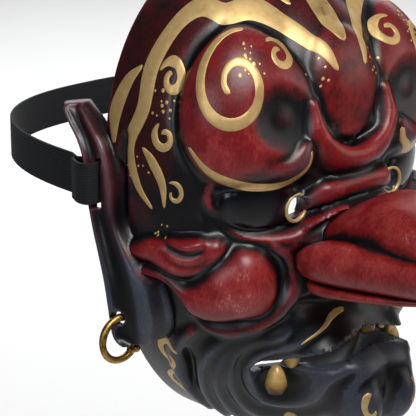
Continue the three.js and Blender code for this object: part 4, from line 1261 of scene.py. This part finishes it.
# name, centre out, centre up, first and last radius, first and last angle, widest
CURLS = [
    ("brow_curl", 58, 56, 25, 4, 105, -420, 5.2),
    ("brow_tip", 32, 68, 9, 2, 40, 480, 4),
    ("temple_curl", 98, 62, 9, 2, 20, 460, 5),
    ("side_curl", 100, 36, 7, 2, 60, -330, 4),
    ("lid_curl", 94, 10, 6, 1.5, 60, 420, 2.6),
    ("jaw_curl", 112, -76, 9, 2, 150, -250, 3.6),
    ("chin_curl", 13, -90, 5, 1.6, 100, -190, 2.6),
    ("jaw_lobe_curl", 38, -110, 4, 1.4, 100, -190, 2.4),
]
LONE_STROKES = [
    ("brow_line", [(84, 32, 1.4), (74, 22, 3.4), (60, 16, 4.2), (46, 13.5, 3.6), (33, 14, 2.8), (23, 20, 2),
                   (21, 27, 1.4)]),
    ("jaw_line", [(112, -86, 1.6), (122, -94, 3.4), (112, -108, 3), (96, -120, 1.2)]),
    ("lip_whisker", [(6, -54, 1.7), (16, -57, 1.6), (26, -60.5, 1), (33, -63.5, 0.5)]),
]
# name, centre out, centre up, spread, count
SPATTER = [("brow", 52, 66, 8, 14), ("temple", 104, 48, 9, 14), ("back", 118, 20, 7, 10),
           ("lid", 104, -8, 4, 6), ("front", 12, 60, 7, 6)]
print(len(STROKES) + len(LONE_STROKES), "strokes,", len(CURLS), "curls and", len(SPATTER), "sprays of dots")

# %% Paint lines on the skin
STROKE_STEP = 0.9
PAINT_LIFT = 0.35
PAINT_SUNK = 0.3
START_OFF = 5
ACROSS = 9
DOT_SIDES = 12
skin_tree = BVHTree.FromObject(shell, bpy.context.evaluated_depsgraph_get())


def stroke_line(centre):
    """Points and widths, close together, for a stroke's middle line."""
    gaps = np.hypot(*np.diff(centre[:, :2], axis=0).T)
    length = np.concatenate([[0], np.cumsum(gaps)])
    steps = np.arange(0, length[-1], STROKE_STEP)
    return np.stack([np.interp(steps, length, centre[:, k]) for k in range(3)], -1)


def curl_line(at_out, at_up, first, last, start, end, widest):
    """A spiral that narrows toward both ends."""
    share = np.linspace(0, 1, 90)
    turn = np.radians(start + (end - start) * share)
    reach = first + (last - first) * share ** 0.8
    width = widest * np.clip(np.minimum(share * 5 + 0.3, 1.25 - 0.75 * share), 0.3, 1)
    return np.stack([at_out + reach * np.cos(turn), at_up + reach * np.sin(turn), width], -1)


print("a line is laid in steps of", STROKE_STEP, "mm")


# %% Paint that follows the skin
def on_real_skin(out, up, side):
    """The same places on the finished mesh, which is a little softer than the plain formula."""
    guess = on_face(out, up, side, 0)
    inward = HEART - guess
    inward /= np.linalg.norm(inward, axis=-1, keepdims=True)
    for i, (p, way) in enumerate(zip(guess, inward)):
        start = Vector((p - way * START_OFF) * MM)
        hit, _, _, _ = skin_tree.ray_cast(start, Vector(way), 2 * START_OFF * MM)
        if hit is not None:
            guess[i] = np.array(hit) / MM
    return guess


def stroke_ribbon(centre, side):
    """Rings of a thin raised ribbon of paint along a line on the face map."""
    line = stroke_line(centre)
    ahead = np.gradient(line[:, :2], axis=0)
    ahead /= np.maximum(1e-9, np.linalg.norm(ahead, axis=1, keepdims=True))
    normal = np.stack([-ahead[:, 1], ahead[:, 0]], -1)
    end_gap = np.minimum(np.arange(len(line)), np.arange(len(line))[::-1]) * STROKE_STEP
    half = line[:, 2] / 2 * np.sqrt(np.clip(end_gap / np.maximum(0.4, line[:, 2] / 2), 0.02, 1))
    across = np.linspace(-1, 1, ACROSS)
    u = line[:, None, 0] + normal[:, None, 0] * half[:, None] * across
    v = line[:, None, 1] + normal[:, None, 1] * half[:, None] * across
    dome = np.broadcast_to(PAINT_LIFT * (0.35 + 0.65 * (1 - across ** 4)), u.shape)
    base = on_real_skin(u.ravel(), v.ravel(), side).reshape(u.shape + (3,))
    ray = base - HEART
    ray /= np.linalg.norm(ray, axis=-1, keepdims=True)
    top = base + ray * dome[..., None]
    under = base - ray * PAINT_SUNK
    return np.concatenate([top, under[:, ::-1]], axis=1)


print("paint lies", PAINT_LIFT, "mm on the skin")

# %% Strokes and dots
scatter = np.random.default_rng(7)
dots = []
lines = [smooth_line(knots) for name, knots in STROKES + LONE_STROKES]
lines += [curl_line(*curl[1:]) for curl in CURLS]
for name, at_out, at_up, spread, number in SPATTER:
    for _ in range(number):
        u, v = scatter.normal((at_out, at_up), spread / 1.6)
        size = 0.9 + 1.2 * scatter.random() ** 2
        dots.append((u, v, size))
ribbons = [stroke_ribbon(np.asarray(centre, float), side) for side in (-1, 1) for centre in lines]
points, faces = [], []
for rings in ribbons:
    start = sum(len(p) for p in points)
    rows, sides = rings.shape[:2]
    if rows < 2:
        continue
    points.append(rings.reshape(-1, 3))
    faces += band_faces(rows, sides, start)
    faces.append([start + s for s in range(sides)][::-1])
    faces.append([start + (rows - 1) * sides + s for s in range(sides)])
for side in (-1, 1):
    for u, v, size in dots:
        angle = np.linspace(0, 2 * math.pi, DOT_SIDES, endpoint=False)
        rim = on_real_skin(u + size / 2 * np.cos(angle), v + size / 2 * np.sin(angle), side)
        ray = rim.mean(0) - HEART
        ray /= np.linalg.norm(ray)
        start = sum(len(p) for p in points)
        points.append(np.vstack([rim - ray * PAINT_SUNK, rim + ray * PAINT_LIFT,
                                 rim.mean(0) - ray * PAINT_SUNK, rim.mean(0) + ray * 1.4 * PAINT_LIFT]))
        faces += band_faces(2, DOT_SIDES, start)
        for a in range(DOT_SIDES):
            b = (a + 1) % DOT_SIDES
            faces.append([start + b, start + a, start + 2 * DOT_SIDES])
            faces.append([start + DOT_SIDES + a, start + DOT_SIDES + b, start + 2 * DOT_SIDES + 1])
scrolls = mesh_object("gold_scrolls", np.vstack(points), faces)
dress(scrolls, gold, 50)
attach(scrolls, "mask")
print(len(ribbons), "strokes,", len(faces), "faces")

# %% [markdown]
# A shop photographs such a mask against a pale ground that is lit by itself, with soft lights on the
# mask. Here the floor lies far below, so no shadow of the mask falls in the picture, and one wide
# lamp behind the mask washes it pale. A large soft light over the front and a weaker one from each
# side give the varnish its broad shine. The dim world only fills the shadows, and the plain view
# transform keeps the blacks deep.

# %% Paper floor
FLOOR_Z = -900
FLOOR_SIZE = 16
FIBRE_MM = 2
paper, t, where = new_material("pale_matte_paper", "#f4f4f4")
fibre = add(t, "TexNoise", {"Vector": where, "Scale": 1 / (FIBRE_MM * MM), "Detail": 3, "Roughness": 0.6})
shade = add(t, "ValToRGB", {"Fac": fibre, "stops": [(0.3, "#f1f1f1"), (0.7, "#f7f7f7")]})
add(t, "OutputMaterial", {"Surface": add(t, "BsdfPrincipled", {"Roughness": 0.9, "Base Color": shade})})
half = FLOOR_SIZE / 2 / MM
corners = [(-half, -half, FLOOR_Z), (half, -half, FLOOR_Z), (half, half, FLOOR_Z), (-half, half, FLOOR_Z)]
floor = mesh_object("paper_floor", corners, [[0, 1, 2, 3]])
floor.data.materials.append(paper)
print("floor", FLOOR_SIZE, "m wide")

# %% Lights
WORLD_STRENGTH = 0.08
world = bpy.data.worlds.new("light_tent")
bpy.context.scene.world = world
world.use_nodes = True
world.node_tree.nodes["Background"].inputs[0].default_value = linear("#f2f4f8")
world.node_tree.nodes["Background"].inputs[1].default_value = WORLD_STRENGTH
bpy.context.scene.view_settings.view_transform = "Standard"
# name, place, place it faces, size, power, colour
LIGHTS = [
    ("top_front", (-250, -950, 1150), (0, -50, 0), 0.7, 18, "#ffffff"),
    ("camera_left", (-1300, -500, 550), (0, -50, 0), 0.6, 4, "#f4f7ff"),
    ("right_side", (1000, -900, 400), (0, -50, 0), 0.9, 3.5, "#fff8f0"),
    ("ground_wash", (2200, 2350, 900), (2200, 2350, -900), 4, 92, "#ffffff"),
]
for name, at, target, size, power, tint in LIGHTS:
    data = bpy.data.lights.new(name, "AREA")
    data.size = size
    data.energy = power
    data.color = linear(tint)[:3]
    lamp = bpy.data.objects.new(name, data)
    bpy.context.scene.collection.objects.link(lamp)
    lamp.location = Vector(at) * MM
    lamp.rotation_euler = Vector([a - b for a, b in zip(at, target)]).to_track_quat("Z", "Y").to_euler()
print(len(LIGHTS), "lights")

# %% [markdown]
# The scene is brought up to date at the end.

bpy.context.view_layer.update()
